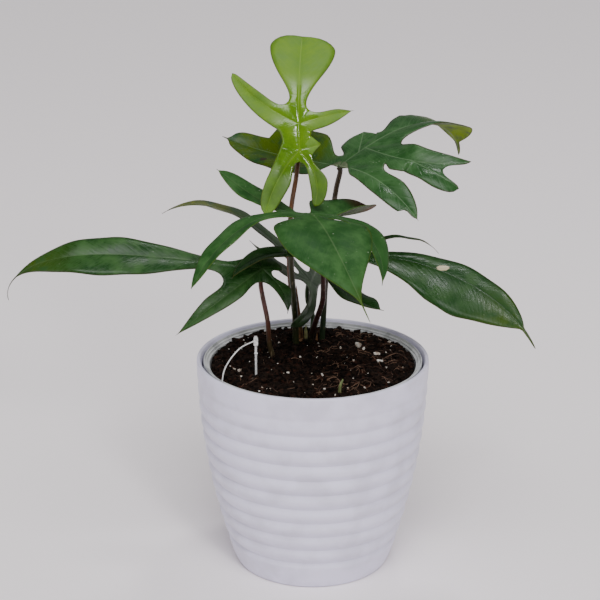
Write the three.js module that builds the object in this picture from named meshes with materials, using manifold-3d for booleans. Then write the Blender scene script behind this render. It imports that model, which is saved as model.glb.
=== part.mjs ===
// A young Florida Ghost philodendron in a ribbed cover pot, at rest on a table.
//
// Millimetres, +Z up. The origin is the centre of the cover pot's underside, and the viewer looks along +Y.
// Each leaf is a lobed blade on its own stalk. A blade is built from the midribs of its lobes: each midrib
// leaves the stalk's end, or another midrib, in the blade's own plane, and bends as it grows. The sheet
// between two midribs runs from where they part to the bay between their lobes.

import * as THREE from "three";
import { mergeVertices } from "three/addons/utils/BufferGeometryUtils.js";
import Module from "manifold-3d";

const wasm = await Module();
wasm.setup();

// Cover pot

const POT_RADIUS = 70;
const POT_HEIGHT = 131.5;
const POT_TAPER = 21.3;
const POT_TAPER_HEIGHT = 127.6;
const POT_WALL = 2.4;
const POT_FLOOR = 3;
const FOOT_RADIUS = 44.7;
const RIB_PITCH = 9.9;
const RIB_COUNT = 10;
const FIRST_RIB_DROP = 23.9;
const RIB_DEPTH = 0.8;
const POT_SIDES = 44;
const RIB_FADE = { first: 0.3, step: 0.35 };
const FOOT_EDGE = [[0, 0], [2.6, 1]];
const FOOT_EDGE_HEIGHT = 4.5;
const RIM_BAND = 6;
const RIM_ROUND = 1;
const INNER_CORNER = 3;
const INNER_STEP = 24;

// Nursery pot and soil

const LINER_RIM_RADIUS = 65.6;
const LINER_RIM_DROP = 1.2;
const LINER_STEP_RADIUS = 62.8;
const LINER_STEP_DROP = 8;
const LINER_FOOT_RADIUS = 41;
const LINER_WALL = 1;
const LINER_SIDES = 40;
const LINER_LEDGE = 1.5;
const LINER_LEAN = 0.4;
const SOIL_RADIUS = 61.3;
const SOIL_DROP = 3.2;
const SOIL_DEPTH = 118;
const SOIL_CROWN = 1.6;
const SOIL_LUMP = 0.9;
const SOIL_RINGS = [1, 0.92, 0.8, 0.64, 0.48, 0.32, 0.16, 0];
const SOIL_WAVES = [
  { x: 0.31, y: 0.27, phase: 1.3, share: 0.5 },
  { x: 0.53, y: -0.41, phase: 2.1, share: 0.3 },
  { x: 0.37, y: 0.83, phase: 0, share: 0.2 },
];
const GAP = 0.3;

// Small upright pieces

const Z_AXIS = new THREE.Vector3(0, 0, 1);
const SPROUT_WAY = [[15, -53, 121], [15, -53, 129], [17, -52, 137]];
const SPROUT_RADIUS = 1.1;
const FASTENER_WAY = [
  [-52.9, -40.3, 123], [-52.9, -40.3, 131], [-51, -39, 139], [-43, -35, 149], [-34, -29, 152],
];
const FASTENER_RADIUS = 0.4;
const FASTENER_HEAD = [-33.5, -29, 152];
const FASTENER_HEAD_SIZE = [2.6, 2.4, 5.5];
const FASTENER_BEAD = { radius: 1.1, drop: 8 };
const FASTENER_PIN = { radius: 0.7, length: 31 };
const FINE_TUBE_SIDES = 6;

// Leaves

const BLADE_THICKNESS = 0.7;
const STATION_STEP = 7;
const FINE_STEPS = 168;
const FLAT_CENTRE = 6;
const DRIP_TIP_WIDTH = 0.07;
const SHOULDER_CROWD = 1.5;
const EDGE_WAVE = 0.6;
const WAVE_LENGTH = 30;
const BAY_FLARE = 13;
const WIDE_LOBE = 9;
const BLADE_BULGE = 0.05;
const FOLD_GROWTH = 4;
const WAVE_GROWTH = 2;
const FEWEST_STATIONS = 3;
const STALK_SIDES = 8;
const STALK_STEPS = 5;
const STALK_STUB = 4;
const HOLE_PLAY = 0.5;
const HOLE_SIDES = 10;
const STALK_FOOT = 117;
const HOLE_FLOOR = 115.5;
const HUSK_LEAN = 1.1;
const HUSK_FOOT = 121;
const HUSK_SIDES = 8;
const HUSK_SHAPE = [[0, 0], [1, 0], [1, 0.45], [0.6, 0.8], [0, 1]];
const BAY_ROWS = 1.1;

// Each lobe is listed turning from the stalk's right round to its left. Angles are in degrees, sizes in mm.
// turn: direction in the blade's plane, 0 ahead and + to the left. web: from the fork to the bay that
// follows. left, right: greatest half-widths. full: where the lobe is widest, as a share of its length.
// tip: 0.4 blunt to 2 drawn out. neck: width at the root. drip: share of the length in the thread-like tip.
// thread: width of that tip where it starts. notch: how far the rounded shoulders reach past the tip, in mm.
// droop, sweep, twist: total bend down, to the left and about the midrib. fold: rise of the sides.

const LOBE_DEFAULTS = {
  sweep: 0, twist: 0, swell: 1.6, drip: 0.03, thread: 0.1, notch: 0, bend: 1.5, fold: 10,
};

const NEW_LEAF = {
  name: "new_leaf", color: 0x86b52a,
  at: [-8, 0, 259], heading: 90, pitch: 73, roll: 0,
  lobes: [
    { name: "right_foot", web: 8, turn: -141, length: 36, left: 6.5, right: 4, full: 0.47, tip: 0.4,
      neck: 0.6, drip: 0.02, droop: -1, sweep: -58, twist: 3 },
    { name: "tooth", web: 12, turn: -77, length: 13, left: 3, right: 3, full: 0.4, tip: 1, neck: 0.8,
      drip: 0.04, droop: -1, sweep: 6 },
    { name: "right_arm", from: "end", at: 0.22, web: 10, turn: -74, length: 33, left: 4, right: 6,
      full: 0.34, tip: 1.05, neck: 0.7, drip: 0.04, droop: -1, sweep: -8, twist: -1 },
    { name: "end", web: 14, turn: 2, length: 73, left: 18, right: 20, full: 0.85, tip: 1.05, neck: 0.05,
      swell: 4.8, drip: 0, notch: 3, droop: 42, sweep: -8, twist: 3, bend: 1.3, fold: 2 },
    { name: "left_arm", from: "end", at: 0.2, web: 11, turn: 64, length: 49, left: 8, right: 4.5,
      full: 0.15, tip: 0.5, neck: 0.7, drip: 0, droop: -6, sweep: -27, twist: 10, fold: 13 },
    { name: "left_foot", web: 7, turn: 140, length: 44, left: 7.5, right: 6, full: 0.47, tip: 0.4,
      neck: 0.75, swell: 1.5, droop: -14, sweep: 29, twist: 1, fold: 11 },
  ],
};

const UPPER_LEAF = {
  name: "upper_leaf", color: 0x3d5b41,
  at: [15, 16, 245], heading: 27, pitch: 30, roll: -1,
  lobes: [
    { name: "near_foot", web: 32, turn: -78, length: 72, left: 8, right: 8.5, full: 0.65, tip: 0.75,
      neck: 0.4, swell: 1.8, droop: 60, sweep: -16, twist: 8, bend: 1.3 },
    { name: "near_fork", from: "near_arm", at: 0.5, web: 20, turn: -18, length: 34, left: 2,
      right: 8.5, full: 0.55, tip: 0.4, neck: 0.95, drip: 0.02, droop: 35, sweep: 4, twist: 12,
      bend: 1.3, fold: 11 },
    { name: "near_arm", from: "end", at: 0.175, web: 22, turn: -87, length: 72, left: 11.5, right: 11,
      full: 0.29, tip: 1, neck: 0.85, swell: 1.5, drip: 0, droop: 45, sweep: 67, twist: 17, bend: 0.8 },
    { name: "end", web: 22, turn: -5, length: 120, left: 16, right: 19.5, full: 0.68, tip: 1.2,
      neck: 0.25, swell: 2, drip: 0.09, thread: 0.3, droop: 94, sweep: 39, twist: 8 },
    { name: "far_arm", from: "end", at: 0.12, web: 12, turn: 52, length: 24, left: 12.5, right: 10.5,
      full: 0.43, tip: 0.7, neck: 0.7, drip: 0.04, droop: 0, twist: 3, bend: 1.4, fold: 6 },
    { name: "far_foot", web: 5, turn: 98, length: 93, left: 17.5, right: 20, full: 0.41, tip: 0.5,
      neck: 0.5, drip: 0.05, droop: -45, sweep: 29, twist: 6, bend: 1.6, fold: 16 },
  ],
};

const FRONT_LEAF = {
  name: "front_leaf", color: 0x3f6a3c,
  at: [-5, -18, 226], heading: -68, pitch: 16, roll: -11,
  lobes: [
    { name: "right_foot", web: 16, turn: -156, length: 67, left: 8.5, right: 10, full: 0.47, tip: 0.7,
      neck: 0.6, droop: -55, sweep: 35, twist: -35, bend: 0.9, fold: 5 },
    { name: "right_arm", web: 21, turn: -82, length: 89, left: 10.5, right: 10, full: 0.45, tip: 0.8,
      neck: 0.6, swell: 1.7, drip: 0.01, droop: 68, sweep: 4, twist: -15, bend: 0.8, fold: 8 },
    { name: "end", web: 23, turn: -7, length: 106, left: 24.5, right: 28.5, full: 0.41, tip: 1.8,
      neck: 0.6, swell: 1.8, drip: 0.09, thread: 0.05, droop: 74, sweep: 23, twist: 14, bend: 0.8,
      fold: 0 },
    { name: "left_arm", web: 18, turn: 42, length: 76, left: 12, right: 12, full: 0.48, tip: 1.05,
      neck: 0.6, droop: 92, sweep: -14, twist: 6, bend: 1.4 },
    { name: "left_foot", web: 6, turn: 111, length: 52, left: 17, right: 18, full: 0.47, tip: 0.4,
      neck: 0.6, drip: 0.02, droop: -21, sweep: -6, twist: 9, bend: 1.2, fold: 24 },
  ],
};

const LEFT_LEAF = {
  name: "left_leaf", color: 0x2f5a2c,
  at: [-30, -10, 190], heading: 177, pitch: 21, roll: -40,
  lobes: [
    { name: "right_foot", web: 10, turn: -148, length: 15, left: 5, right: 5, full: 0.5, tip: 1,
      neck: 0.6, drip: 0.04, droop: 58, sweep: -11, twist: -2, bend: 1.3 },
    { name: "end", web: 25, turn: 16, length: 172, left: 15, right: 11.5, full: 0.53, tip: 1.65,
      neck: 0.05, swell: 2.7, drip: 0.11, droop: 109, sweep: 5, twist: 13, bend: 3.9, fold: 5 },
    { name: "left_arm", web: 9, turn: 61, length: 67, left: 6.5, right: 7.5, full: 0.25, tip: 1.1,
      neck: 0.6, droop: 34, sweep: -5, twist: -3, bend: 1.4, fold: 11 },
    { name: "left_foot", web: 6, turn: 155, length: 33, left: 6.5, right: 5.5, full: 0.33, tip: 1.1,
      neck: 0.6, drip: 0.04, droop: 68, sweep: -15, twist: -12, bend: 1.4, fold: 11 },
  ],
};

const RIGHT_LEAF = {
  name: "right_leaf", color: 0x2f5f33,
  at: [6, -5, 196], heading: -3, pitch: -12, roll: 20,
  lobes: [
    { name: "right_foot", web: 10, turn: -176, length: 61, left: 6, right: 6, full: 0.6, tip: 0.85,
      neck: 0.6, droop: 43, sweep: 50, twist: 18, bend: 2.1, fold: 12 },
    { name: "right_arm", web: 14, turn: -67, length: 72, left: 7.5, right: 8, full: 0.73, tip: 1.1,
      neck: 0.55, swell: 1.7, drip: 0.04, droop: -30, sweep: 22, twist: -3, bend: 1.1 },
    { name: "end", web: 20, turn: 28, length: 156, left: 11, right: 27, full: 0.56, tip: 0.9,
      neck: 0.05, swell: 2.4, drip: 0.11, thread: 0.15, droop: -17, sweep: -97, twist: 19, bend: 1.6,
      fold: 0 },
    { name: "left_arm", web: 8, turn: 46, length: 108, left: 1.5, right: 1.5, full: 0.49, tip: 1.2,
      neck: 0.6, drip: 0.04, droop: 50, sweep: -6, bend: 1.8 },
  ],
};

const INNER_LEAF = {
  name: "inner_leaf", color: 0x4a5a44,
  at: [-1, 34, 167], heading: 143, pitch: 41, roll: 16,
  lobes: [
    { name: "right_arm", web: 10, turn: -70, length: 40, left: 7, right: 7, full: 0.5, tip: 1.2,
      neck: 0.35, drip: 0.04, droop: 30 },
    { name: "end", web: 10, turn: 8, length: 111, left: 8, right: 7.5, full: 0.52, tip: 0.8, neck: 0.5,
      droop: 77, sweep: 20, twist: 5, bend: 2.3, fold: 11 },
    { name: "left_arm", web: 8, turn: 62, length: 53, left: 7.5, right: 4.5, full: 0.45, tip: 1.25,
      neck: 0.6, drip: 0.04, droop: -4, sweep: -34, twist: -1, fold: 5 },
    { name: "left_foot", web: 6, turn: 129, length: 44, left: 4, right: 4, full: 0.79, tip: 1.05,
      neck: 0.55, swell: 1.7, drip: 0.04, droop: 136, sweep: 9, twist: -20, bend: 2, fold: 11 },
  ],
};

// Colours

const POT_WHITE = 0xe9e9ee;
const LINER_GREY = 0x8f9396;
const STALK_BROWN = 0x4f3a26;
const HUSK_TAN = 0x9c6a35;
const HUSK_PALE = 0xb9c07a;
const SPROUT_GREEN = 0x5c5f2a;
const NYLON = 0xe6e6e6;
const SOIL_BROWN = 0x2a1d17;

// Shape rules for the leaves

const rad = THREE.MathUtils.degToRad;
const clamp = THREE.MathUtils.clamp;

// How far a lobe is past its widest place at s, from 0 there to 1 where its thread-like tip starts.
function lobeFall(lobe, s) {
  return clamp((s - lobe.full) / (1 - lobe.drip - lobe.full), 0, 1);
}

// Half-width of a lobe at s, from 0 at its root to 1 at its tip, as a share of its greatest half-width.
function lobeWidth(lobe, s) {
  const taper = DRIP_TIP_WIDTH * (1 - s);
  if (s < lobe.full) {
    const rise = Math.sin((Math.PI / 2) * (s / lobe.full)) ** lobe.swell;
    return lobe.neck + (1 - lobe.neck) * rise + taper;
  }
  const body = (1 - lobeFall(lobe, s) ** 2) ** lobe.tip + taper;
  return Math.max(body, lobe.thread * Math.sqrt(1 - s));
}

// Turns the pair of unit vectors a and b about their common normal, a towards b.
function turnPair(a, b, angle) {
  const turned = a.clone().multiplyScalar(Math.cos(angle)).addScaledVector(b, Math.sin(angle));
  b.multiplyScalar(Math.cos(angle)).addScaledVector(a, -Math.sin(angle));
  a.copy(turned);
}

// A leaf's own axes: forward along the end lobe, side to the left, up out of the upper face.
function leafAxes(leaf) {
  const [heading, pitch, roll] = [leaf.heading, leaf.pitch, leaf.roll].map(rad);
  const forward = new THREE.Vector3(
    Math.cos(pitch) * Math.cos(heading),
    Math.cos(pitch) * Math.sin(heading),
    Math.sin(pitch),
  );
  const side = new THREE.Vector3(-Math.sin(heading), Math.cos(heading), 0);
  const up = forward.clone().cross(side);
  turnPair(side, up, roll);
  return { point: new THREE.Vector3(...leaf.at), forward, side, up };
}

// The stations along one lobe's midrib, from its root to its tip, with the edge points on both sides.
function lobeStations(lobe, root) {
  const count = Math.max(FEWEST_STATIONS, Math.round(lobe.length / STATION_STEP));
  const forward = root.forward.clone();
  const side = root.side.clone();
  const up = root.up.clone();
  turnPair(forward, side, rad(lobe.turn));
  const point = root.point.clone();
  const stations = [];
  let before = { droop: 0, sweep: 0, twist: 0 };
  for (let i = 0; i <= FINE_STEPS; i += 1) {
    const s = i / FINE_STEPS;
    const bent = clamp((s * lobe.length - FLAT_CENTRE) / (lobe.length - FLAT_CENTRE), 0, 1);
    const now = {
      droop: rad(lobe.droop) * bent ** lobe.bend,
      sweep: rad(lobe.sweep) * bent,
      twist: rad(lobe.twist) * bent,
    };
    if (i > 0) {
      turnPair(up, forward, now.droop - before.droop);
      turnPair(forward, side, now.sweep - before.sweep);
      turnPair(side, up, now.twist - before.twist);
      point.addScaledVector(forward, lobe.length / FINE_STEPS);
    }
    before = now;
    const phase = (2 * Math.PI * s * lobe.length) / WAVE_LENGTH + lobe.turn;
    const wave = EDGE_WAVE * Math.sin(phase) * clamp(WAVE_GROWTH * bent, 0, 1);
    const lift = Math.tan(rad(lobe.fold)) * clamp(FOLD_GROWTH * bent, 0, 1);
    const width = lobeWidth(lobe, s);
    const shoulder = lobe.notch * Math.sin(Math.PI * lobeFall(lobe, s) ** SHOULDER_CROWD);
    const edge = (half, sign) =>
      point
        .clone()
        .addScaledVector(forward, shoulder)
        .addScaledVector(side, sign * half * width)
        .addScaledVector(up, lift * half * width + wave * width);
    stations.push({
      point: point.clone(),
      forward: forward.clone(),
      side: side.clone(),
      up: up.clone(),
      left: edge(lobe.left, 1),
      right: edge(lobe.right, -1),
    });
  }
  const picked = [];
  for (let k = 0; k <= count; k += 1) picked.push(stations[Math.round((k * FINE_STEPS) / count)]);
  return picked;
}

// The way from the stalk's end out to a lobe's tip, as a list of numbered points.
function wayToTip(lobe, lobes) {
  const own = lobe.ids.map((id, k) => ({ id, lobe, k }));
  if (!lobe.from) return own;
  const parent = wayToTip(lobes[lobe.from], lobes);
  const fork = parent.findIndex((step) => step.id === lobe.ids[0]);
  return [...parent.slice(0, fork + 1), ...own.slice(1)];
}

// Curve that leaves the bay across its middle line and runs into the lobe's own edge.
function bayCurve(start, startPull, end, endPull, u) {
  return new THREE.Vector3()
    .addScaledVector(start, 2 * u ** 3 - 3 * u ** 2 + 1)
    .addScaledVector(startPull, u ** 3 - 2 * u ** 2 + u)
    .addScaledVector(end, 3 * u ** 2 - 2 * u ** 3)
    .addScaledVector(endPull, u ** 3 - u ** 2);
}

// The middle surface of a blade: points, and triangles that face out of its upper side.
function bladeSheet(leaf) {
  const centre = leafAxes(leaf);
  const points = [centre.point];
  const faces = [];
  const addPoint = (p) => points.push(p) - 1;
  const addFace = (a, b, c) => {
    if (a !== b && b !== c && a !== c) faces.push([a, b, c]);
  };
  const lobes = {};
  const order = leaf.lobes.map((values) => ({ ...LOBE_DEFAULTS, ...values }));
  const rooted = [...order].sort((a, b) => depthOf(a, order) - depthOf(b, order));
  for (const lobe of rooted) {
    const parent = lobe.from && lobes[lobe.from];
    const fork = parent ? Math.round(lobe.at * (parent.stations.length - 1)) : 0;
    lobe.stations = lobeStations(lobe, parent ? parent.stations[fork] : centre);
    lobe.ids = lobe.stations.map((station, k) => {
      if (k > 0) return addPoint(station.point);
      return parent ? parent.ids[fork] : 0;
    });
    lobes[lobe.name] = lobe;
  }

  order.forEach((lobe, i) => {
    const next = order[(i + 1) % order.length];
    const ways = [wayToTip(lobe, lobes), wayToTip(next, lobes)];
    let fork = 0;
    while (ways[0][fork + 1].id === ways[1][fork + 1].id) fork += 1;
    const halves = ways.map((way) => way.slice(fork));
    const root = points[halves[0][0].id];
    const rows = Math.max(1, Math.round((BAY_ROWS * lobe.web) / STATION_STEP));
    const lead = halves.map((half) => {
      const far = points[half[Math.min(rows, half.length - 1)].id];
      return far.clone().sub(root).normalize();
    });
    const middle = lead[0].clone().add(lead[1]).normalize();
    const bay = root.clone().addScaledVector(middle, lobe.web);
    const seam = [halves[0][0].id];
    for (let k = 1; k <= rows; k += 1) seam.push(addPoint(root.clone().lerp(bay, k / rows)));

    halves.forEach((half, h) => {
      const side = h === 0 ? "left" : "right";
      const addTurned = (a, b, c) => (h === 0 ? addFace(a, b, c) : addFace(a, c, b));
      const last = half.length - 1;
      const flare = Math.min(last - 1, rows + Math.round(BAY_FLARE / STATION_STEP));
      const edgePoint = (k) => half[k].lobe.stations[half[k].k][side];
      const reach = bay.distanceTo(edgePoint(flare));
      const across = lead[h].clone().addScaledVector(middle, -lead[h].dot(middle)).setLength(reach);
      const along = edgePoint(flare).clone().sub(edgePoint(flare - 1)).setLength(reach);
      const edge = half.map((step, k) => {
        if (k <= rows) return seam[k];
        if (k === last) return step.id;
        if (k >= flare) return addPoint(edgePoint(k).clone());
        const u = (k - rows) / (flare - rows);
        return addPoint(bayCurve(bay, across, edgePoint(flare), along, u));
      });
      const wide = half[last].lobe[side] > WIDE_LOBE;
      const columns = half.map((step, k) => {
        if (!wide || k === 0 || k === last) return [step.id, edge[k]];
        const [rib, rim] = [points[step.id], points[edge[k]]];
        const bulge = BLADE_BULGE * rib.distanceTo(rim);
        const between = rib.clone().lerp(rim, 0.5);
        between.addScaledVector(step.lobe.stations[step.k].up, bulge);
        return [step.id, addPoint(between), edge[k]];
      });
      for (let k = 0; k < last; k += 1) stitch(columns[k], columns[k + 1], addTurned);
    });
  });
  return { points, faces };
}

function depthOf(lobe, order) {
  return lobe.from ? 1 + depthOf(order.find((other) => other.name === lobe.from), order) : 0;
}

// Triangles between two rows of points that share their direction and may differ by one in number.
function stitch(near, far, addFace) {
  let i = 0;
  let j = 0;
  while (i < near.length - 1 || j < far.length - 1) {
    const stepFar = (j + 1) / (far.length - 1) <= (i + 1) / (near.length - 1);
    if (j < far.length - 1 && (stepFar || i === near.length - 1)) {
      addFace(near[i], far[j], far[j + 1]);
      j += 1;
    } else {
      addFace(near[i], far[j], near[i + 1]);
      i += 1;
    }
  }
}

// A closed body of even thickness on both sides of a sheet.
function thicken({ points, faces }, thickness) {
  const normals = points.map(() => new THREE.Vector3());
  const edges = new Map();
  for (const face of faces) {
    const [a, b, c] = face.map((id) => points[id]);
    const normal = b.clone().sub(a).cross(c.clone().sub(a));
    face.forEach((id, n) => {
      normals[id].add(normal);
      const next = face[(n + 1) % 3];
      const back = next + "," + id;
      if (edges.has(back)) edges.delete(back);
      else edges.set(id + "," + next, [id, next]);
    });
  }
  const position = [];
  const put = (...corners) => corners.forEach((p) => position.push(p.x, p.y, p.z));
  const skin = (id, sign) =>
    points[id].clone().addScaledVector(normals[id].clone().normalize(), (sign * thickness) / 2);
  for (const [a, b, c] of faces) {
    put(skin(a, 1), skin(b, 1), skin(c, 1));
    put(skin(a, -1), skin(c, -1), skin(b, -1));
  }
  for (const [a, b] of edges.values()) {
    put(skin(a, 1), skin(a, -1), skin(b, -1));
    put(skin(a, 1), skin(b, -1), skin(b, 1));
  }
  const geometry = new THREE.BufferGeometry();
  geometry.setAttribute("position", new THREE.Float32BufferAttribute(position, 3));
  return geometry;
}

// Joins and cuts of closed meshes

function solidFrom(geometry) {
  const bare = geometry.clone();
  bare.deleteAttribute("normal");
  bare.deleteAttribute("uv");
  const merged = mergeVertices(bare, 1e-4);
  const vertProperties = new Float32Array(merged.attributes.position.array);
  const triVerts = new Uint32Array(merged.index.array);
  return new wasm.Manifold(new wasm.Mesh({ numProp: 3, vertProperties, triVerts }));
}

function geometryFrom(solid) {
  const mesh = solid.getMesh();
  const geometry = new THREE.BufferGeometry();
  geometry.setAttribute("position", new THREE.BufferAttribute(mesh.vertProperties, 3));
  geometry.setIndex(new THREE.BufferAttribute(mesh.triVerts, 1));
  const flat = geometry.toNonIndexed();
  flat.computeVertexNormals();
  return flat;
}

// Round tube along a smooth curve through the given points.
function tubeAlong(points, radius, sides, steps) {
  const path = new THREE.CatmullRomCurve3(points.map((p) => new THREE.Vector3(...p)));
  const section = new THREE.Shape().absarc(0, 0, radius, 0, 2 * Math.PI);
  section.autoClose = true;
  return new THREE.ExtrudeGeometry(section, {
    steps,
    curveSegments: sides / 2,
    bevelEnabled: false,
    extrudePath: path,
  });
}

// Body of revolution about +Z from [radius, height] pairs that start and end on the axis or close.
function lathe(profile, sides) {
  const outline = profile.map(([r, z]) => new THREE.Vector2(r, z));
  return new THREE.LatheGeometry(outline, sides).rotateX(Math.PI / 2);
}

const plant = new THREE.Group();

function add(name, geometry, color, roughness) {
  geometry.computeVertexNormals();
  const material = new THREE.MeshStandardMaterial({ color, roughness, metalness: 0 });
  const mesh = new THREE.Mesh(geometry, material);
  mesh.name = name;
  plant.add(mesh);
}

// Cover pot: the wall narrows towards the foot, with shallow grooves round it at an even pitch.

function potRadius(height) {
  const drop = POT_HEIGHT - height;
  return POT_RADIUS - POT_TAPER * (drop / POT_TAPER_HEIGHT) ** 2;
}

const potOutside = [];
for (let k = -1; k < RIB_COUNT; k += 1) {
  const valley = POT_HEIGHT - FIRST_RIB_DROP - k * RIB_PITCH;
  const depth = RIB_DEPTH * clamp(RIB_FADE.first + RIB_FADE.step * (k + 1), 0, 1);
  const shoulder = RIB_PITCH / 3;
  potOutside.push([potRadius(valley + shoulder), valley + shoulder]);
  potOutside.push([potRadius(valley) - depth, valley]);
  potOutside.push([potRadius(valley - shoulder), valley - shoulder]);
}
const potInside = [];
for (let height = POT_FLOOR + INNER_STEP / 2; height < POT_HEIGHT - RIM_BAND; height += INNER_STEP) {
  potInside.push([potRadius(height) - POT_WALL, height]);
}
add(
  "cover_pot",
  lathe(
    [
      [0, 0],
      ...FOOT_EDGE.map(([out, height]) => [FOOT_RADIUS + out, height]),
      [potRadius(FOOT_EDGE_HEIGHT), FOOT_EDGE_HEIGHT],
      ...potOutside.reverse(),
      [POT_RADIUS, POT_HEIGHT - RIM_BAND],
      [POT_RADIUS, POT_HEIGHT - RIM_ROUND],
      [POT_RADIUS - RIM_ROUND, POT_HEIGHT],
      [POT_RADIUS - POT_WALL + RIM_ROUND / 2, POT_HEIGHT],
      [POT_RADIUS - POT_WALL, POT_HEIGHT - RIM_ROUND],
      ...potInside.reverse(),
      [potRadius(POT_FLOOR) - POT_WALL - INNER_CORNER, POT_FLOOR],
      [0, POT_FLOOR],
    ],
    POT_SIDES,
  ),
  POT_WHITE,
  0.45,
);

// Nursery pot: it stands on the cover pot's floor, with a stepped rim just below the cover pot's rim.

const linerFloor = POT_FLOOR + GAP;
const linerRim = POT_HEIGHT - LINER_RIM_DROP;
const linerStep = linerRim - LINER_STEP_DROP;
add(
  "nursery_pot",
  lathe(
    [
      [0, linerFloor],
      [LINER_FOOT_RADIUS, linerFloor],
      [LINER_STEP_RADIUS, linerStep],
      [LINER_RIM_RADIUS, linerStep + LINER_LEDGE],
      [LINER_RIM_RADIUS, linerRim],
      [LINER_RIM_RADIUS - LINER_WALL, linerRim],
      [LINER_RIM_RADIUS - LINER_WALL - LINER_LEAN, linerStep + 2 * LINER_LEDGE],
      [LINER_STEP_RADIUS - LINER_WALL, linerStep + LINER_LEDGE],
      [LINER_FOOT_RADIUS - LINER_WALL, linerFloor + LINER_WALL],
      [0, linerFloor + LINER_WALL],
    ],
    LINER_SIDES,
  ),
  LINER_GREY,
  0.35,
);

// Leaf stalks: each stands upright in the soil, bends on its way up, and meets its blade square on.

const stalks = [
  {
    leaf: NEW_LEAF,
    radius: 1.5,
    way: [[-11, 29, 128], [-11, 25, 147], [-14, 13, 180], [-13, 6, 221], [-10, 9, 240]],
  },
  {
    leaf: FRONT_LEAF,
    radius: 1.7,
    way: [[-10, 22, 131], [-11, 15, 158], [-13, 6, 190], [-12, 2, 205], [-8, -13, 215]],
  },
  {
    leaf: LEFT_LEAF,
    radius: 1.5,
    way: [[-24, 4, 129], [-26, 3, 137], [-27, 0, 153], [-31, -2, 177]],
  },
  {
    leaf: RIGHT_LEAF,
    radius: 1.7,
    way: [[-2, 28, 129], [2, 19, 147], [6, 9, 164], [6, 3, 182]],
  },
  {
    leaf: UPPER_LEAF,
    radius: 1.7,
    way: [[6, 35, 130], [7, 33, 147], [8, 30, 168], [11.5, 25, 210], [14, 20, 231]],
  },
  {
    leaf: INNER_LEAF,
    radius: 1.5,
    way: [[0, 38, 130], [0, 39, 145], [-3, 38, 154]],
  },
];

for (const { leaf, radius, way } of stalks) {
  const { point, up } = leafAxes(leaf);
  const below = (distance) => point.clone().addScaledVector(up, -distance).toArray();
  const [x, y] = way[0];
  const stub = [below(STALK_STUB), below(BLADE_THICKNESS / 2 + 2 * GAP)];
  const points = [[x, y, STALK_FOOT], ...way, ...stub];
  const stalk = tubeAlong(points, radius, STALK_SIDES, STALK_STEPS * way.length);
  add(leaf.name + "_stalk", stalk, STALK_BROWN, 0.5);
  add(leaf.name + "_blade", thicken(bladeSheet(leaf), BLADE_THICKNESS), leaf.color, 0.35);
}

// Sheaths that each young leaf left behind: slim pointed husks that stand at the foot of the stalks.

const sheaths = [
  { name: "dry_sheath", foot: [-7, 31], tip: [-10, 26, 168], radius: 2, color: HUSK_TAN },
  { name: "fresh_sheath", foot: [-4, 33], tip: [-4, 31, 141], radius: 1.7, color: HUSK_PALE },
  { name: "short_sheath", foot: [2, 32], tip: [3, 31, 136], radius: 0.9, color: HUSK_TAN },
];

function husk({ foot: [x, y], tip, radius }) {
  const base = new THREE.Vector3(x, y, HUSK_FOOT);
  const axis = new THREE.Vector3(...tip).sub(base);
  const length = axis.length();
  const profile = HUSK_SHAPE.map(([out, share]) => [radius * out, length * share]);
  const geometry = lathe(profile, HUSK_SIDES);
  geometry.applyQuaternion(new THREE.Quaternion().setFromUnitVectors(Z_AXIS, axis.normalize()));
  return geometry.translate(base.x, base.y, base.z);
}

for (const sheath of sheaths) add(sheath.name, husk(sheath), sheath.color, 0.8);

// Small green sprout that leans out of the soil near the front.

add(
  "sprout",
  tubeAlong(SPROUT_WAY, SPROUT_RADIUS, FINE_TUBE_SIDES, 6),
  SPROUT_GREEN,
  0.6,
);

// Plastic tag fastener: a thin loop from between the two pots to a lock head, with its pin in the soil.

const [headX, headY, headZ] = FASTENER_HEAD;
const pinWay = [1, 12, FASTENER_PIN.length].map((drop) => [headX, headY, headZ - drop]);
const fastenerPieces = [
  tubeAlong(FASTENER_WAY, FASTENER_RADIUS, FINE_TUBE_SIDES, 22),
  new THREE.BoxGeometry(...FASTENER_HEAD_SIZE).translate(headX, headY, headZ),
  new THREE.SphereGeometry(FASTENER_BEAD.radius, 8, 6).translate(headX, headY, headZ - FASTENER_BEAD.drop),
  tubeAlong(pinWay, FASTENER_PIN.radius, FINE_TUBE_SIDES, 2),
];
const fastener = fastenerPieces.map(solidFrom).reduce((whole, piece) => whole.add(piece));
add("tag_fastener", geometryFrom(fastener), NYLON, 0.3);

// Soil: it fills the nursery pot to just below the rim, slightly crowned and lumpy, with a hole for each
// piece that stands in it.

function lump(x, y) {
  const heights = SOIL_WAVES.map((wave) => wave.share * Math.sin(wave.x * x + wave.y * y + wave.phase));
  return SOIL_LUMP * heights.reduce((sum, height) => sum + height);
}

function soilBody() {
  const top = POT_HEIGHT - SOIL_DROP;
  const bottom = top - SOIL_DEPTH;
  const slope = (LINER_STEP_RADIUS - LINER_FOOT_RADIUS) / (linerStep - linerFloor);
  const inside = (z) => LINER_FOOT_RADIUS - LINER_WALL - 2 * GAP + slope * (z - linerFloor);
  const geometry = lathe(
    [
      [0, bottom],
      [inside(bottom), bottom],
      [inside(linerStep) - GAP, linerStep],
      [SOIL_RADIUS, linerStep + LINER_LEDGE + GAP],
      ...SOIL_RINGS.map((share) => [share * SOIL_RADIUS, top]),
    ],
    LINER_SIDES,
  );
  const position = geometry.attributes.position;
  for (let i = 0; i < position.count; i += 1) {
    const [x, y, z] = [position.getX(i), position.getY(i), position.getZ(i)];
    const share = Math.hypot(x, y) / SOIL_RADIUS;
    if (Math.abs(z - top) > 0.01) continue;
    position.setZ(i, z + SOIL_CROWN * (1 - share ** 2) + lump(x, y) * (1 - share ** 4));
  }
  return geometry;
}

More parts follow.
